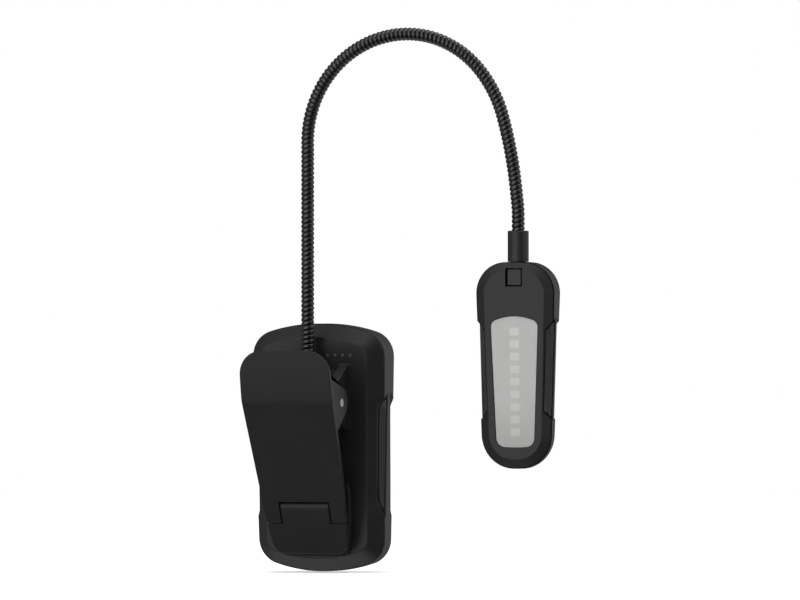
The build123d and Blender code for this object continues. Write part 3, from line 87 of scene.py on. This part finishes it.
# %% Camera
CAMERA_TURN = radians(22)
CAMERA_LENS = 500.0
SENSOR = 36.0
PHOTO_WIDTH_PX = 800
MM_PER_PX = 0.36
FAR_LIMIT = 4
aim = Vector((33.99, -2.45, 81.0)) * MM
camera_data = bpy.data.cameras.new("camera")
camera_data.lens = CAMERA_LENS
camera_data.sensor_width = SENSOR
distance = CAMERA_LENS / SENSOR * PHOTO_WIDTH_PX * MM_PER_PX * MM
camera_data.clip_end = FAR_LIMIT * distance
camera = bpy.data.objects.new("camera", camera_data)
bpy.context.scene.collection.objects.link(camera)
away = Vector((sin(CAMERA_TURN), -cos(CAMERA_TURN), 0))
camera.location = aim + away * distance
camera.rotation_mode = "QUATERNION"
camera.rotation_quaternion = (-away).to_track_quat("-Z", "Y")
bpy.context.scene.camera = camera
bpy.context.scene.view_settings.view_transform = "Standard"
print("camera stands", round(distance, 2), "m away")

# %% [markdown]
# ## Helpers for shader nodes
# The studio and the finishes are drawn by shader nodes. Wiring each node by hand takes four lines,
# so two helpers make a Math or Vector Math node and wire what is fed to it in one call. They take
# plain numbers as well as sockets, which keeps the formulas readable.


# %% Helpers for shader nodes
def link(tree, start, end):
    tree.links.new(start, end)


def math_node(tree, operation, a, b=None):
    """A Math node that takes numbers or sockets, and its result."""
    node = tree.nodes.new("ShaderNodeMath")
    node.operation = operation
    for slot, value in zip(node.inputs, (a, b)):
        if value is None:
            continue
        if isinstance(value, (int, float)):
            slot.default_value = value
        else:
            link(tree, value, slot)
    return node.outputs[0]


def vector_node(tree, operation, a, b=None):
    """A Vector Math node fed by a socket and, where it takes one, a plain vector."""
    node = tree.nodes.new("ShaderNodeVectorMath")
    node.operation = operation
    link(tree, a, node.inputs[0])
    if b is not None:
        node.inputs[1].default_value = b
    return node


print("helpers:", link.__name__, math_node.__name__, vector_node.__name__)

# %% [markdown]
# ## The studio's dome
# Black things are shown by what they mirror more than by their own colour. The dome is dark with
# soft glows in it: a broad one in front, smaller ones low, high, behind, above, below and at the
# sides. Between the front and the right side it stays dark, which is why the clip's right bevel
# looks almost black. A picture of a real studio could light it too, but glows drawn by direction
# can be moved one at a time until each slope has its tone. Camera rays see plain white.

# %% Dome
DOME_BASE = 0.022
DOME_DIFFUSE = 0.8
# Direction, flattening, sharpness and level of each soft glow
DOME_GLOWS = {"front": ((-0.20, -0.98, 0.0), 2.6, 6.0, 1.05),
              "front low": ((-0.35, -0.80, -0.46), 1.0, 40.0, 0.66),
              "front high": ((-0.30, -0.72, 0.62), 1.0, 8.0, 0.7),
              "back": ((0.55, 0.83, 0.0), 1.0, 4.0, 0.5),
              "above": ((-0.1, 0.0, 0.99), 1.0, 3.0, 0.25),
              "top lamp": ((0.26, 0.23, 0.93), 1.0, 18.0, 2.0),
              "left": ((-0.95, -0.05, 0.0), 1.0, 3.0, 0.14),
              "right": ((0.99, 0.02, 0.0), 1.0, 40.0, 0.7),
              "below": ((-0.2, 0.25, -0.95), 1.0, 5.0, 0.8)}


def make_dome():
    world = bpy.data.worlds.new("studio_dome")
    bpy.context.scene.world = world
    world.use_nodes = True
    tree = world.node_tree
    tree.nodes.clear()
    place = tree.nodes.new("ShaderNodeTexCoord")
    mirrored = DOME_BASE
    for direction, flatten, sharpness, level in DOME_GLOWS.values():
        squeezed = vector_node(tree, "MULTIPLY", place.outputs["Generated"], (1, 1, flatten))
        unit = vector_node(tree, "NORMALIZE", squeezed.outputs["Vector"])
        aimed = Vector(direction).normalized()
        towards = vector_node(tree, "DOT_PRODUCT", unit.outputs["Vector"], aimed)
        facing = math_node(tree, "MAXIMUM", towards.outputs["Value"], 0.0)
        glow = math_node(tree, "POWER", facing, sharpness)
        mirrored = math_node(tree, "ADD", math_node(tree, "MULTIPLY", glow, level), mirrored)
    ray = tree.nodes.new("ShaderNodeLightPath")
    glossy = ray.outputs["Is Glossy Ray"]
    seen = math_node(tree, "MAXIMUM", ray.outputs["Is Camera Ray"], ray.outputs["Is Transmission Ray"])
    plain = math_node(tree, "MULTIPLY", math_node(tree, "SUBTRACT", 1.0, glossy), DOME_DIFFUSE)
    unseen = math_node(tree, "ADD", plain, math_node(tree, "MULTIPLY", glossy, mirrored))
    hidden = math_node(tree, "MULTIPLY", math_node(tree, "SUBTRACT", 1.0, seen), unseen)
    strength = math_node(tree, "ADD", seen, hidden)
    background = tree.nodes.new("ShaderNodeBackground")
    background.inputs["Color"].default_value = (1, 1, 1, 1)
    link(tree, strength, background.inputs["Strength"])
    out = tree.nodes.new("ShaderNodeOutputWorld")
    link(tree, background.outputs[0], out.inputs[0])
    return world


make_dome()
print("glows in the dome:", len(DOME_GLOWS))

# %% [markdown]
# ## Two soft boxes
# A product photographer hangs a soft box over the table and stands one at the left. They light the
# matt share of the plastic and throw the faint shadow on the floor. Point lamps would throw hard
# shadows. Glossy rays don't see these boxes, so what the plastic mirrors is the dome alone.

# %% Lamps
# Place, size and power of each soft box
LAMPS = {"overhead_box": ((0.05, -0.25, 1.25), 0.35, 9.0),
         "left_box": ((-0.75, -1.15, 0.45), 0.5, 7.0)}


def soft_lamp(name, place, size, power):
    """A square soft box that faces the middle of the object."""
    data = bpy.data.lights.new(name, "AREA")
    data.size = size
    data.energy = power
    lamp = bpy.data.objects.new(name, data)
    bpy.context.scene.collection.objects.link(lamp)
    lamp.location = place
    lamp.rotation_mode = "QUATERNION"
    lamp.rotation_quaternion = (aim - lamp.location).to_track_quat("-Z", "Y")
    lamp.visible_glossy = False


for name, (place, size, power) in LAMPS.items():
    soft_lamp(name, Vector(place), size, power)
print("soft boxes:", ", ".join(LAMPS))

# %% [markdown]
# ## The floor
# A pale sheet lies just under the clip. It is lit like anything else, so the object's shadow
# stays on it, and it adds a little light of its own for the camera, to meet the white behind it.
# A white disc that only glows would lose the shadow. Glossy rays pass the sheet, so that the object
# mirrors the dome alone, as it would on a clear sheet.


# %% A piece from a shape
def add_piece(name, shape, finish):
    """Turn a bmesh into an object with one finish, and let the bmesh go."""
    mesh = bpy.data.meshes.new(name)
    shape.to_mesh(mesh)
    shape.free()
    mesh.materials.append(finish)
    piece = bpy.data.objects.new(name, mesh)
    bpy.context.scene.collection.objects.link(piece)
    return piece


print("pieces are made by", add_piece.__name__)


# %% Floor
FLOOR_DROP = 0.3 * MM
FLOOR_SIZE = 3.0
FLOOR_TONE = (0.82, 0.82, 0.82, 1)
FLOOR_OWN_LIGHT = 0.35


def make_paper():
    """Matt paper that glows a little for the camera and lets glossy rays through."""
    paper = bpy.data.materials.new("pale_paper")
    paper.use_nodes = True
    tree = paper.node_tree
    tree.nodes.clear()
    matt = tree.nodes.new("ShaderNodeBsdfDiffuse")
    matt.inputs["Color"].default_value = FLOOR_TONE
    ray = tree.nodes.new("ShaderNodeLightPath")
    glow = tree.nodes.new("ShaderNodeEmission")
    own_light = math_node(tree, "MULTIPLY", ray.outputs["Is Camera Ray"], FLOOR_OWN_LIGHT)
    link(tree, own_light, glow.inputs["Strength"])
    both = tree.nodes.new("ShaderNodeAddShader")
    link(tree, matt.outputs[0], both.inputs[0])
    link(tree, glow.outputs[0], both.inputs[1])
    clear = tree.nodes.new("ShaderNodeBsdfTransparent")
    choice = tree.nodes.new("ShaderNodeMixShader")
    link(tree, ray.outputs["Is Glossy Ray"], choice.inputs["Fac"])
    link(tree, both.outputs[0], choice.inputs[1])
    link(tree, clear.outputs[0], choice.inputs[2])
    out = tree.nodes.new("ShaderNodeOutputMaterial")
    link(tree, choice.outputs[0], out.inputs["Surface"])
    return paper


def make_floor():
    level = CAD_BOX[0][2] - FLOOR_DROP
    shape = bmesh.new()
    bmesh.ops.create_grid(shape, x_segments=1, y_segments=1, size=FLOOR_SIZE / 2)
    bmesh.ops.translate(shape, verts=shape.verts, vec=Vector((aim.x, aim.y, level)))
    floor = add_piece("floor", shape, make_paper())
    print("floor at", round(level / MM, 2), "mm")


make_floor()

# %% [markdown]
# ## Finishes
# Every surface here is plain, so its life is in small things: a fine grain in the bump, as
# the mould leaves it, and slow changes in colour and gloss, as handling and moulding leave them.
# A photograph of plastic could be wrapped round the pieces, but it needs seams. Patterns reckoned
# from the place of each point need none and stay sharp up close, so one such recipe makes them all.


# %% The recipe for a finish
CLOUD_DETAIL = 3.0
CLOUD_RANGE = (0.3, 0.7)
GRAIN_DETAIL = 2.0
GRAIN_STRENGTH = 0.6


def make_finish(name, colour, rough, metal=0.0, specular=0.5, grain=0.12, grain_height=0.01,
                cloud=9.0, shade=0.12, rough_spread=0.05):
    """A principled finish with clouds in colour and gloss, and a grain in mm in the bump."""
    made = bpy.data.materials.new(name)
    made.use_nodes = True
    tree = made.node_tree
    shader = tree.nodes["Principled BSDF"]
    shader.inputs["Metallic"].default_value = metal
    shader.inputs["Specular IOR Level"].default_value = specular
    place = tree.nodes.new("ShaderNodeTexCoord")
    clouds = tree.nodes.new("ShaderNodeTexNoise")
    clouds.inputs["Scale"].default_value = 1 / (cloud * MM)
    clouds.inputs["Detail"].default_value = CLOUD_DETAIL
    link(tree, place.outputs["Object"], clouds.inputs["Vector"])
    ramp = tree.nodes.new("ShaderNodeValToRGB")
    for stop, position, change in zip(ramp.color_ramp.elements, CLOUD_RANGE, (-shade, shade)):
        stop.position = position
        stop.color = (*[c * (1 + change) for c in colour], 1)
    link(tree, clouds.outputs["Fac"], ramp.inputs["Fac"])
    link(tree, ramp.outputs["Color"], shader.inputs["Base Color"])
    gloss = tree.nodes.new("ShaderNodeMapRange")
    gloss.inputs["To Min"].default_value = rough - rough_spread
    gloss.inputs["To Max"].default_value = rough + rough_spread
    link(tree, clouds.outputs["Fac"], gloss.inputs["Value"])
    link(tree, gloss.outputs["Result"], shader.inputs["Roughness"])
    grit = tree.nodes.new("ShaderNodeTexNoise")
    grit.inputs["Scale"].default_value = 1 / (grain * MM)
    grit.inputs["Detail"].default_value = GRAIN_DETAIL
    link(tree, place.outputs["Object"], grit.inputs["Vector"])
    bump = tree.nodes.new("ShaderNodeBump")
    bump.inputs["Distance"].default_value = grain_height * MM
    bump.inputs["Strength"].default_value = GRAIN_STRENGTH
    link(tree, grit.outputs["Fac"], bump.inputs["Height"])
    link(tree, bump.outputs["Normal"], shader.inputs["Normal"])
    return made


print("clouds span", CLOUD_RANGE, "of the noise")

# %% [markdown]
# ## Finishes of this light
# The shells are satin black plastic, the strips in their corners a smoother one, and the neck is
# blackened metal that mirrors in its own dark tone. Black plastic still returns about one percent
# of the light, so no tone here is zero. Each line gives the tone in linear light, then the
# roughness. The inner pieces get finishes too, for whoever opens the shells.

# %% Make the finishes
SHELL = make_finish("moulded_shell", (0.0100, 0.0100, 0.0107), 0.36, specular=0.54,
                    grain_height=0.006)
HEAD_SHELL = make_finish("moulded_head", (0.0085, 0.0085, 0.0091), 0.36, specular=0.62,
                         grain_height=0.006)
LEVER = make_finish("moulded_lever", (0.0062, 0.0062, 0.0067), 0.35, grain_height=0.006)
STRIP = make_finish("smooth_strip", (0.0120, 0.0120, 0.0126), 0.30, grain_height=0.004)
HEAD_STRIP = make_finish("smooth_head_strip", (0.0260, 0.0260, 0.0268), 0.30, grain_height=0.004)
NECK = make_finish("black_spiral", (0.135, 0.135, 0.139), 0.19, metal=1.0, grain=0.5,
                   grain_height=0.002, rough_spread=0.03)
COLLAR = make_finish("collar_black", (0.0130, 0.0130, 0.0136), 0.30, grain=0.6,
                     grain_height=0.001)
PIN = make_finish("polished_pin", (0.78, 0.77, 0.75), 0.25, metal=1.0, shade=0.04)
SPRING = make_finish("spring_wire", (0.42, 0.42, 0.43), 0.32, metal=1.0, shade=0.08)
RUBBER = make_finish("grip_rubber", (0.014, 0.014, 0.015), 0.72, grain=0.2, grain_height=0.03,
                     shade=0.2)
SCREW = make_finish("black_screw", (0.03, 0.03, 0.03), 0.35, metal=0.6)
LEAD = make_finish("lead_jacket", (0.16, 0.012, 0.010), 0.45)
BOARD = make_finish("board_mask", (0.012, 0.10, 0.045), 0.35)
WHITE_BOARD = make_finish("white_mask", (0.72, 0.72, 0.70), 0.45)
FOIL = make_finish("cell_foil", (0.62, 0.62, 0.64), 0.38, metal=0.8)
SOCKET = make_finish("socket_steel", (0.55, 0.55, 0.56), 0.28, metal=1.0)
PHOSPHOR = make_finish("lamp_phosphor", (0.80, 0.72, 0.40), 0.5)
GUIDE = make_finish("light_guide", (0.045, 0.045, 0.048), 0.25)
SWITCH = make_finish("switch_black", (0.02, 0.02, 0.02), 0.5)
OPAL = make_finish("opal_lens", (0.34, 0.34, 0.336), 0.45, grain_height=0.004, shade=0.03)
print("finishes made, from", SHELL.name, "to", OPAL.name)

# %% Give each node its finish
FINISH_OF_SLOT = {"shell_black": SHELL, "lever_black": LEVER, "strip_black": STRIP,
                  "neck_black": NECK, "collar_black": COLLAR, "pin_steel": PIN,
                  "spring_steel": SPRING, "grip_rubber": RUBBER, "screw_black": SCREW,
                  "lead_jacket": LEAD, "board_green": BOARD, "board_white": WHITE_BOARD,
                  "cell_foil": FOIL, "socket_steel": SOCKET, "led_face": PHOSPHOR,
                  "guide_clear": GUIDE, "switch_black": SWITCH, "lens_opal": OPAL}
slot_of_node = {row["node"]: row["material_slot"] for row in frame["record"]["subparts"]}
FINISH_OF_NODE = {"head_front_frame": HEAD_SHELL, "head_rear_cover": HEAD_SHELL}
for corner in ("front_left", "front_right", "rear_left", "rear_right"):
    FINISH_OF_NODE["head_strip_" + corner] = HEAD_STRIP
for name, node in nodes.items():
    node.data.materials.clear()
    node.data.materials.append(FINISH_OF_NODE.get(name, FINISH_OF_SLOT[slot_of_node[name]]))
print("slots with a finish:", len(FINISH_OF_SLOT), "and nodes with their own:", len(FINISH_OF_NODE))

# %% [markdown]
# ## The lamps behind the window
# Nine square lamps glimmer through the opal window, even while the light is off. A window that
# scatters light could show the real lamps, but slowly and with noise. So the window's finish holds
# a softly edged paler square over each lamp, at the place that the frame gives. The squares fade
# downwards, and the window itself is a little darker near its lower end.


# %% Helpers that paint over a finish
def soft_below(tree, value, limit, edge):
    """1 where a value is under a limit, 0 above it, with a soft edge."""
    step = tree.nodes.new("ShaderNodeMapRange")
    step.interpolation_type = "SMOOTHSTEP"
    link(tree, value, step.inputs["Value"])
    step.inputs["From Min"].default_value = limit + edge
    step.inputs["From Max"].default_value = limit - edge
    return step.outputs["Result"]


def paint_over(tree, share, tone):
    """Mix a tone over the shader's own colour, by a share from 0 to 1."""
    colour = tree.nodes["Principled BSDF"].inputs["Base Color"]
    plain = colour.links[0].from_socket
    mix = tree.nodes.new("ShaderNodeMix")
    mix.data_type = "RGBA"
    link(tree, share, mix.inputs["Factor"])
    link(tree, plain, mix.inputs["A"])
    mix.inputs["B"].default_value = tone
    link(tree, mix.outputs["Result"], colour)


print("painting helpers:", soft_below.__name__, paint_over.__name__)

# %% Draw the lamps in the window's finish
LAMP_COUNT = 9
LAMP_HEIGHT = 2.7 * MM
LAMP_EDGE = 0.35 * MM
LAMP_FADE = 0.06
LAMP_TONE = (0.425, 0.423, 0.405, 1)
SHADE_HEIGHT = 5.0 * MM
SHADE_EDGE = 14.0 * MM
SHADE_TONE = (0.27, 0.27, 0.265, 1)


def draw_lamps():
    low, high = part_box("leds")
    half_wide = (high[0] - low[0]) / 2
    half_high = LAMP_HEIGHT / 2
    pitch = (high[2] - low[2] - 2 * half_high) / (LAMP_COUNT - 1)
    tree = OPAL.node_tree
    place = tree.nodes.new("ShaderNodeTexCoord")
    apart = tree.nodes.new("ShaderNodeSeparateXYZ")
    link(tree, place.outputs["Object"], apart.inputs[0])
    aside = math_node(tree, "SUBTRACT", apart.outputs["X"], (low[0] + high[0]) / 2)
    across = math_node(tree, "ABSOLUTE", aside)
    below_first = math_node(tree, "SUBTRACT", high[2] - half_high, apart.outputs["Z"])
    down = math_node(tree, "DIVIDE", below_first, pitch)
    nearest = math_node(tree, "ROUND", down)
    nearest = math_node(tree, "MINIMUM", math_node(tree, "MAXIMUM", nearest, 0.0), LAMP_COUNT - 1.0)
    off = math_node(tree, "ABSOLUTE", math_node(tree, "SUBTRACT", down, nearest))
    square = math_node(tree, "MULTIPLY", soft_below(tree, across, half_wide, LAMP_EDGE),
                       soft_below(tree, math_node(tree, "MULTIPLY", off, pitch), half_high, LAMP_EDGE))
    faded = math_node(tree, "SUBTRACT", 1.0, math_node(tree, "MULTIPLY", nearest, LAMP_FADE))
    shaded = soft_below(tree, apart.outputs["Z"], low[2] + SHADE_HEIGHT, SHADE_EDGE)
    paint_over(tree, shaded, SHADE_TONE)
    paint_over(tree, math_node(tree, "MULTIPLY", square, faded), LAMP_TONE)
    print("lamps behind the window:", LAMP_COUNT, "at", round(pitch / MM, 2), "mm")


draw_lamps()

# %% [markdown]
# ## Painted shade in the head's joint
# The head's frame and cover meet in a fine groove all round its side, where the slope ends. Little
# light reaches into it, so a narrow band of painted shade, darker and mirroring less, follows the
# plane where the two shells meet. That plane leans by as much as the head's face does. A groove in the
# mesh could do it, but a band this thin is cleaner as painted shade in the finish.

# %% Paint the shade in the joint
# A point of that plane and its lean
JOINT_POINT = Vector((81.56, -9.46, 57.67)) * MM
JOINT_TILT = radians(1.6)
JOINT_HALF_WIDTH = 0.25 * MM
JOINT_EDGE = 0.08 * MM
# Painted shade: a near black tone for the groove, where little light reaches
JOINT_SHADE_TONE = (0.0005, 0.0005, 0.0005, 1)


def draw_joint_shade():
    tree = HEAD_SHELL.node_tree
    facing = Vector((0, cos(JOINT_TILT), sin(JOINT_TILT)))
    place = tree.nodes.new("ShaderNodeTexCoord")
    along = vector_node(tree, "DOT_PRODUCT", place.outputs["Object"], facing).outputs["Value"]
    off = math_node(tree, "ABSOLUTE", math_node(tree, "SUBTRACT", along, facing.dot(JOINT_POINT)))
    share = soft_below(tree, off, JOINT_HALF_WIDTH, JOINT_EDGE)
    # Painted shade in the groove: the band darkens the colour, then takes away most of the mirrored
    # light
    paint_over(tree, share, JOINT_SHADE_TONE)
    mirror = tree.nodes["Principled BSDF"].inputs["Specular IOR Level"]
    kept = math_node(tree, "SUBTRACT", 1.0, share)
    link(tree, math_node(tree, "MULTIPLY", kept, mirror.default_value), mirror)
    print("joint line", round(2 * JOINT_HALF_WIDTH / MM, 2), "mm wide")


draw_joint_shade()

# %% [markdown]
# ## Edges as the mould leaves them
# A moulded edge is never sharp: its small round catches a line of light. Each moulded node is
# copied and its loose triangles are merged into whole faces. A bevel then rounds every crisp edge
# that belongs to a long run of edges. A bevel by angle alone would also cut into the small steps
# of curved surfaces, so the edges are picked first and given a weight. The copy stands for the
# node, which stays hidden.

# %% Pick the edges
LEAST_TURN = radians(7)
LEAST_STEP = 0.2 * MM
SMALL_FEATURE = 6.0 * MM


def crisp_edges(shape):
    """Edges where two surfaces meet, without the small steps of one curved surface."""
    found = []
    for edge in shape.edges:
        if len(edge.link_faces) != 2:
            continue
        turn = edge.calc_face_angle()
        width = max(face.calc_area() for face in edge.link_faces) / edge.calc_length()
        if turn > LEAST_TURN and width * turn > LEAST_STEP:
            found.append(edge)
    return found


def joined_runs(edges):
    """The edges in groups that touch end to end."""
    left = set(edges)
    while left:
        group, front = [], [left.pop()]
        while front:
            edge = front.pop()
            group.append(edge)
            for vert in edge.verts:
                near = [e for e in vert.link_edges if e in left]
                left.difference_update(near)
                front.extend(near)
        yield group


def long_enough(group):
    """True where a run of edges is larger than a small hole or boss."""
    points = [vert.co for edge in group for vert in edge.verts]
    spans = [max(p[i] for p in points) - min(p[i] for p in points) for i in range(3)]
    return max(spans) > SMALL_FEATURE


print("an edge is crisp from", round(degrees(LEAST_TURN), 1), "degrees")

# %% Soften a node's edges
SAME_PLACE = 0.002 * MM
FLAT_TURN = radians(0.4)


def whole_faces(mesh):
    """A bmesh of a mesh, with its loose triangles merged into whole smooth faces."""
    shape = bmesh.new()
    shape.from_mesh(mesh)
    bmesh.ops.remove_doubles(shape, verts=shape.verts, dist=SAME_PLACE)
    bmesh.ops.dissolve_limit(shape, angle_limit=FLAT_TURN, use_dissolve_boundaries=False,
                             verts=shape.verts, edges=shape.edges)
    for face in shape.faces:
        face.smooth = True
    return shape


def weigh_edges(shape):
    """Mark the crisp edges, and give those of long runs their weight for the bevel."""
    weights = shape.edges.layers.float.new("bevel_weight_edge")
    for group in joined_runs(crisp_edges(shape)):
        rounded = long_enough(group)
        for edge in group:
            edge.smooth = False
            edge[weights] = 1.0 if rounded else 0.0


def softened(node_name, width, segments=3):
    """A copy of a node with its edges rounded, in place of the node."""
    node = nodes[node_name]
    shape = whole_faces(node.data)
    weigh_edges(shape)
    piece = add_piece(node_name + "_look", shape, node.data.materials[0])
    bevel = piece.modifiers.new("edge", "BEVEL")
    bevel.width = width * MM
    bevel.segments = segments
    bevel.limit_method = "WEIGHT"
    bevel.loop_slide = False
    bevel.harden_normals = True
    bevel.use_clamp_overlap = False
    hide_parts(node_name)
    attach(piece, body_of_node[node_name])


print("points closer than", round(SAME_PLACE / MM, 3), "mm are merged")

# %% Soften the moulded pieces
# Width of each round in mm
STRIP_EDGE = 0.1
EDGES = {"body_front_cover": 0.3, "body_rear_shell": 0.25, "clip_lever": 0.25, "jaw_foot": 0.25,
         "head_front_frame": 0.18, "head_rear_cover": 0.18, "neck_collar": 0.15, "power_button": 0.15,
         "clip_pivot_pin": 0.15, "body_grip_pad": 0.2, "jaw_grip": 0.08}
for part in ("body", "head"):
    for end in ("front", "rear"):
        for side in ("left", "right"):
            EDGES[f"{part}_strip_{end}_{side}"] = STRIP_EDGE
for name, width in EDGES.items():
    softened(name, width)
print("softened:", len(EDGES))

# %% [markdown]
# ## The gooseneck
# The real neck is two wires wound together, so its ribs climb like a screw thread. Its line is
# upright at first, then an arch of arcs of different radius, read from the picture, and last a
# short straight end in the collar. A curve object could hold this line, but straight runs and arcs
# can be reckoned exactly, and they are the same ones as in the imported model.

# %% The neck's line
NECK_Y = -7.2
NECK_START = 45.2
# A straight run is its length; an arc is None, its radius and its turn in degrees
NECK_RUNS = [(92.9,), (None, 38.5, 90.0), (None, 36.9, 48.5), (None, 44.3, 25.4), (None, 156.0, 9.7),
             (5.5,), (None, 45.0, 6.4), (4.9,), (6.0,)]
RUN_DONE = 1e-9
HOSE_PIECES = 10
RIBS_PER_PIECE = 15
# The last rib lies deep in the collar and isn't drawn
HIDDEN_RIBS = 1


def run_length(run):
    return run[0] if run[0] is not None else run[1] * radians(run[2])


NECK_LENGTH = sum(run_length(run) for run in NECK_RUNS)
RIB_PITCH = NECK_LENGTH / (HOSE_PIECES * RIBS_PER_PIECE)


def neck_line(along):
    """Where the neck's centre is, and its heading from upright, at a distance along it in mm."""
    x, z, turned = 0.0, NECK_START, 0.0
    for run in NECK_RUNS:
        step = min(along, run_length(run))
        if run[0] is not None:
            x, z = x + step * sin(turned), z + step * cos(turned)
        else:
            now = turned + step / run[1]
            x, z = x + run[1] * (cos(turned) - cos(now)), z + run[1] * (sin(now) - sin(turned))
            turned = now
        along -= step
        if along <= RUN_DONE:
            break
    return Vector((x, NECK_Y, z)) * MM, turned


print("neck", round(NECK_LENGTH, 1), "mm long, one rib each", round(RIB_PITCH, 3), "mm")

# %% [markdown]
# ## A length of thread
# A few points draw one rib from the side. A spin that rises by one rib a turn winds them into a
# thread, the seam is sewn by merging doubles, and the straight thread is then bent along the arch
# by moving its points. Rings in an array along a curve could stand for the ribs, but only a thread
# climbs as the real wires do.

# %% Wind and bend a length of neck
CREST_R = 2.37
WIRE_R = RIB_PITCH / 2
WIRE_LEANS = [-58, -44, -30, -12, 12, 30, 44, 58]
GROOVE_DEPTH = 0.5
WIRE_SPREAD = 1.12
# One rib from the side: how far along it each point is, as a share of the pitch, and its radius
RIB_DRAWING = [(0.0, CREST_R - GROOVE_DEPTH)]
for lean in WIRE_LEANS:
    share = (1 + WIRE_SPREAD * sin(radians(lean))) / 2
    RIB_DRAWING.append((share, CREST_R - WIRE_R * (1 - cos(radians(lean)))))
ROUND_STEPS = 40
RIBS_BEFORE_BEND = 1.1


def neck_length_mesh(name, first_rib, last_rib):
    """A thread from one rib to another, bent along the neck."""
    shape = bmesh.new()
    chain = []
    for rib in range(first_rib, last_rib):
        for share, radius in RIB_DRAWING:
            chain.append(shape.verts.new((radius * MM, 0, (rib + share) * RIB_PITCH * MM)))
    chain.append(shape.verts.new((RIB_DRAWING[0][1] * MM, 0, last_rib * RIB_PITCH * MM)))
    edges = [shape.edges.new(pair) for pair in zip(chain, chain[1:])]
    bmesh.ops.spin(shape, geom=chain + edges, cent=(0, 0, 0), axis=(0, 0, 1), angle=2 * pi,
                   dvec=(0, 0, RIB_PITCH * MM / ROUND_STEPS), steps=ROUND_STEPS, use_merge=False)
    bmesh.ops.remove_doubles(shape, verts=shape.verts, dist=SAME_PLACE)
    bmesh.ops.holes_fill(shape, edges=shape.edges, sides=0)
    bmesh.ops.recalc_face_normals(shape, faces=shape.faces)
    for vert in shape.verts:
        centre, turned = neck_line(vert.co.z / MM)
        across = Vector((cos(turned), 0, -sin(turned)))
        vert.co = centre + across * vert.co.x + Vector((0, 1, 0)) * vert.co.y
    for face in shape.faces:
        face.smooth = len(face.verts) == 4
    piece = add_piece(name, shape, NECK)
    return piece


print("points in a rib's drawing:", len(RIB_DRAWING))

# %% [markdown]
# ## The whole neck
# A gooseneck bends everywhere. In the imported model ten hose pieces hinge on each other, and seams
# would open between them. So each drawn length runs from the middle of one hose piece to the middle
# of the next, over the one hinge between. The two ends ride on the clip and on the head.


# %% Wind the whole neck
def hose_body(number):
    return body_of_node[f"neck_hose_{number:02d}"]


def wind_neck():
    ribs = HOSE_PIECES * RIBS_PER_PIECE - HIDDEN_RIBS
    middles = [n * RIBS_PER_PIECE + RIBS_PER_PIECE // 2 for n in range(HOSE_PIECES)]
    start = neck_length_mesh("neck_spiral_start", 0, middles[0])
    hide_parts("neck_hose_01")
    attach(start, hose_body(1))
    for number, (low, high) in enumerate(zip(middles, middles[1:]), start=1):
        piece = neck_length_mesh(f"neck_spiral_{number}", low, high)
        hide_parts(f"neck_hose_{number:02d}", f"neck_hose_{number + 1:02d}")
        begin = neck_line((low + RIBS_BEFORE_BEND) * RIB_PITCH)[0]
        end = neck_line(high * RIB_PITCH)[0]
        hose_body(number)
        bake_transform(piece)
        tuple(begin)
        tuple(end)
    last = neck_length_mesh("neck_spiral_end", middles[-1], ribs)
    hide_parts(f"neck_hose_{HOSE_PIECES:02d}")
    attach(last, hose_body(HOSE_PIECES))
    print("neck of", ribs, "ribs in", HOSE_PIECES + 1, "lengths")


wind_neck()

# %% [markdown]
# ## The torsion spring
# The spring winds round the pin between the lugs. One end rests on the clip body and the other
# pushes the lever, so when the lever turns, each coil takes its share of the turn. It could be
# swept anew along a helix, but the imported model's coils are true already, so a smooth copy is taken
# in place of the node. Only the rims of the cut ends stay sharp.

# %% Wind the spring
WIRE_END_TURN = radians(60)


def wind_spring():
    """A smooth copy of the spring, in place of the node."""
    node = nodes["torsion_spring"]
    shape = bmesh.new()
    shape.from_mesh(node.data)
    bmesh.ops.remove_doubles(shape, verts=shape.verts, dist=SAME_PLACE)
    for face in shape.faces:
        face.smooth = True
    for edge in shape.edges:
        edge.smooth = len(edge.link_faces) == 2 and edge.calc_face_angle() < WIRE_END_TURN
    piece = add_piece("spring_coils", shape, SPRING)
    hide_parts("torsion_spring")
    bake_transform(piece)
    print("spring of", len(piece.data.vertices), "points")


wind_spring()

# %% [markdown]
# ## The last step
# The dressed model should fill the same box as the imported one, since it is the same object.
# The scene is brought up to date at the end.

# %% Bring the scene up to date
bpy.context.view_layer.update()
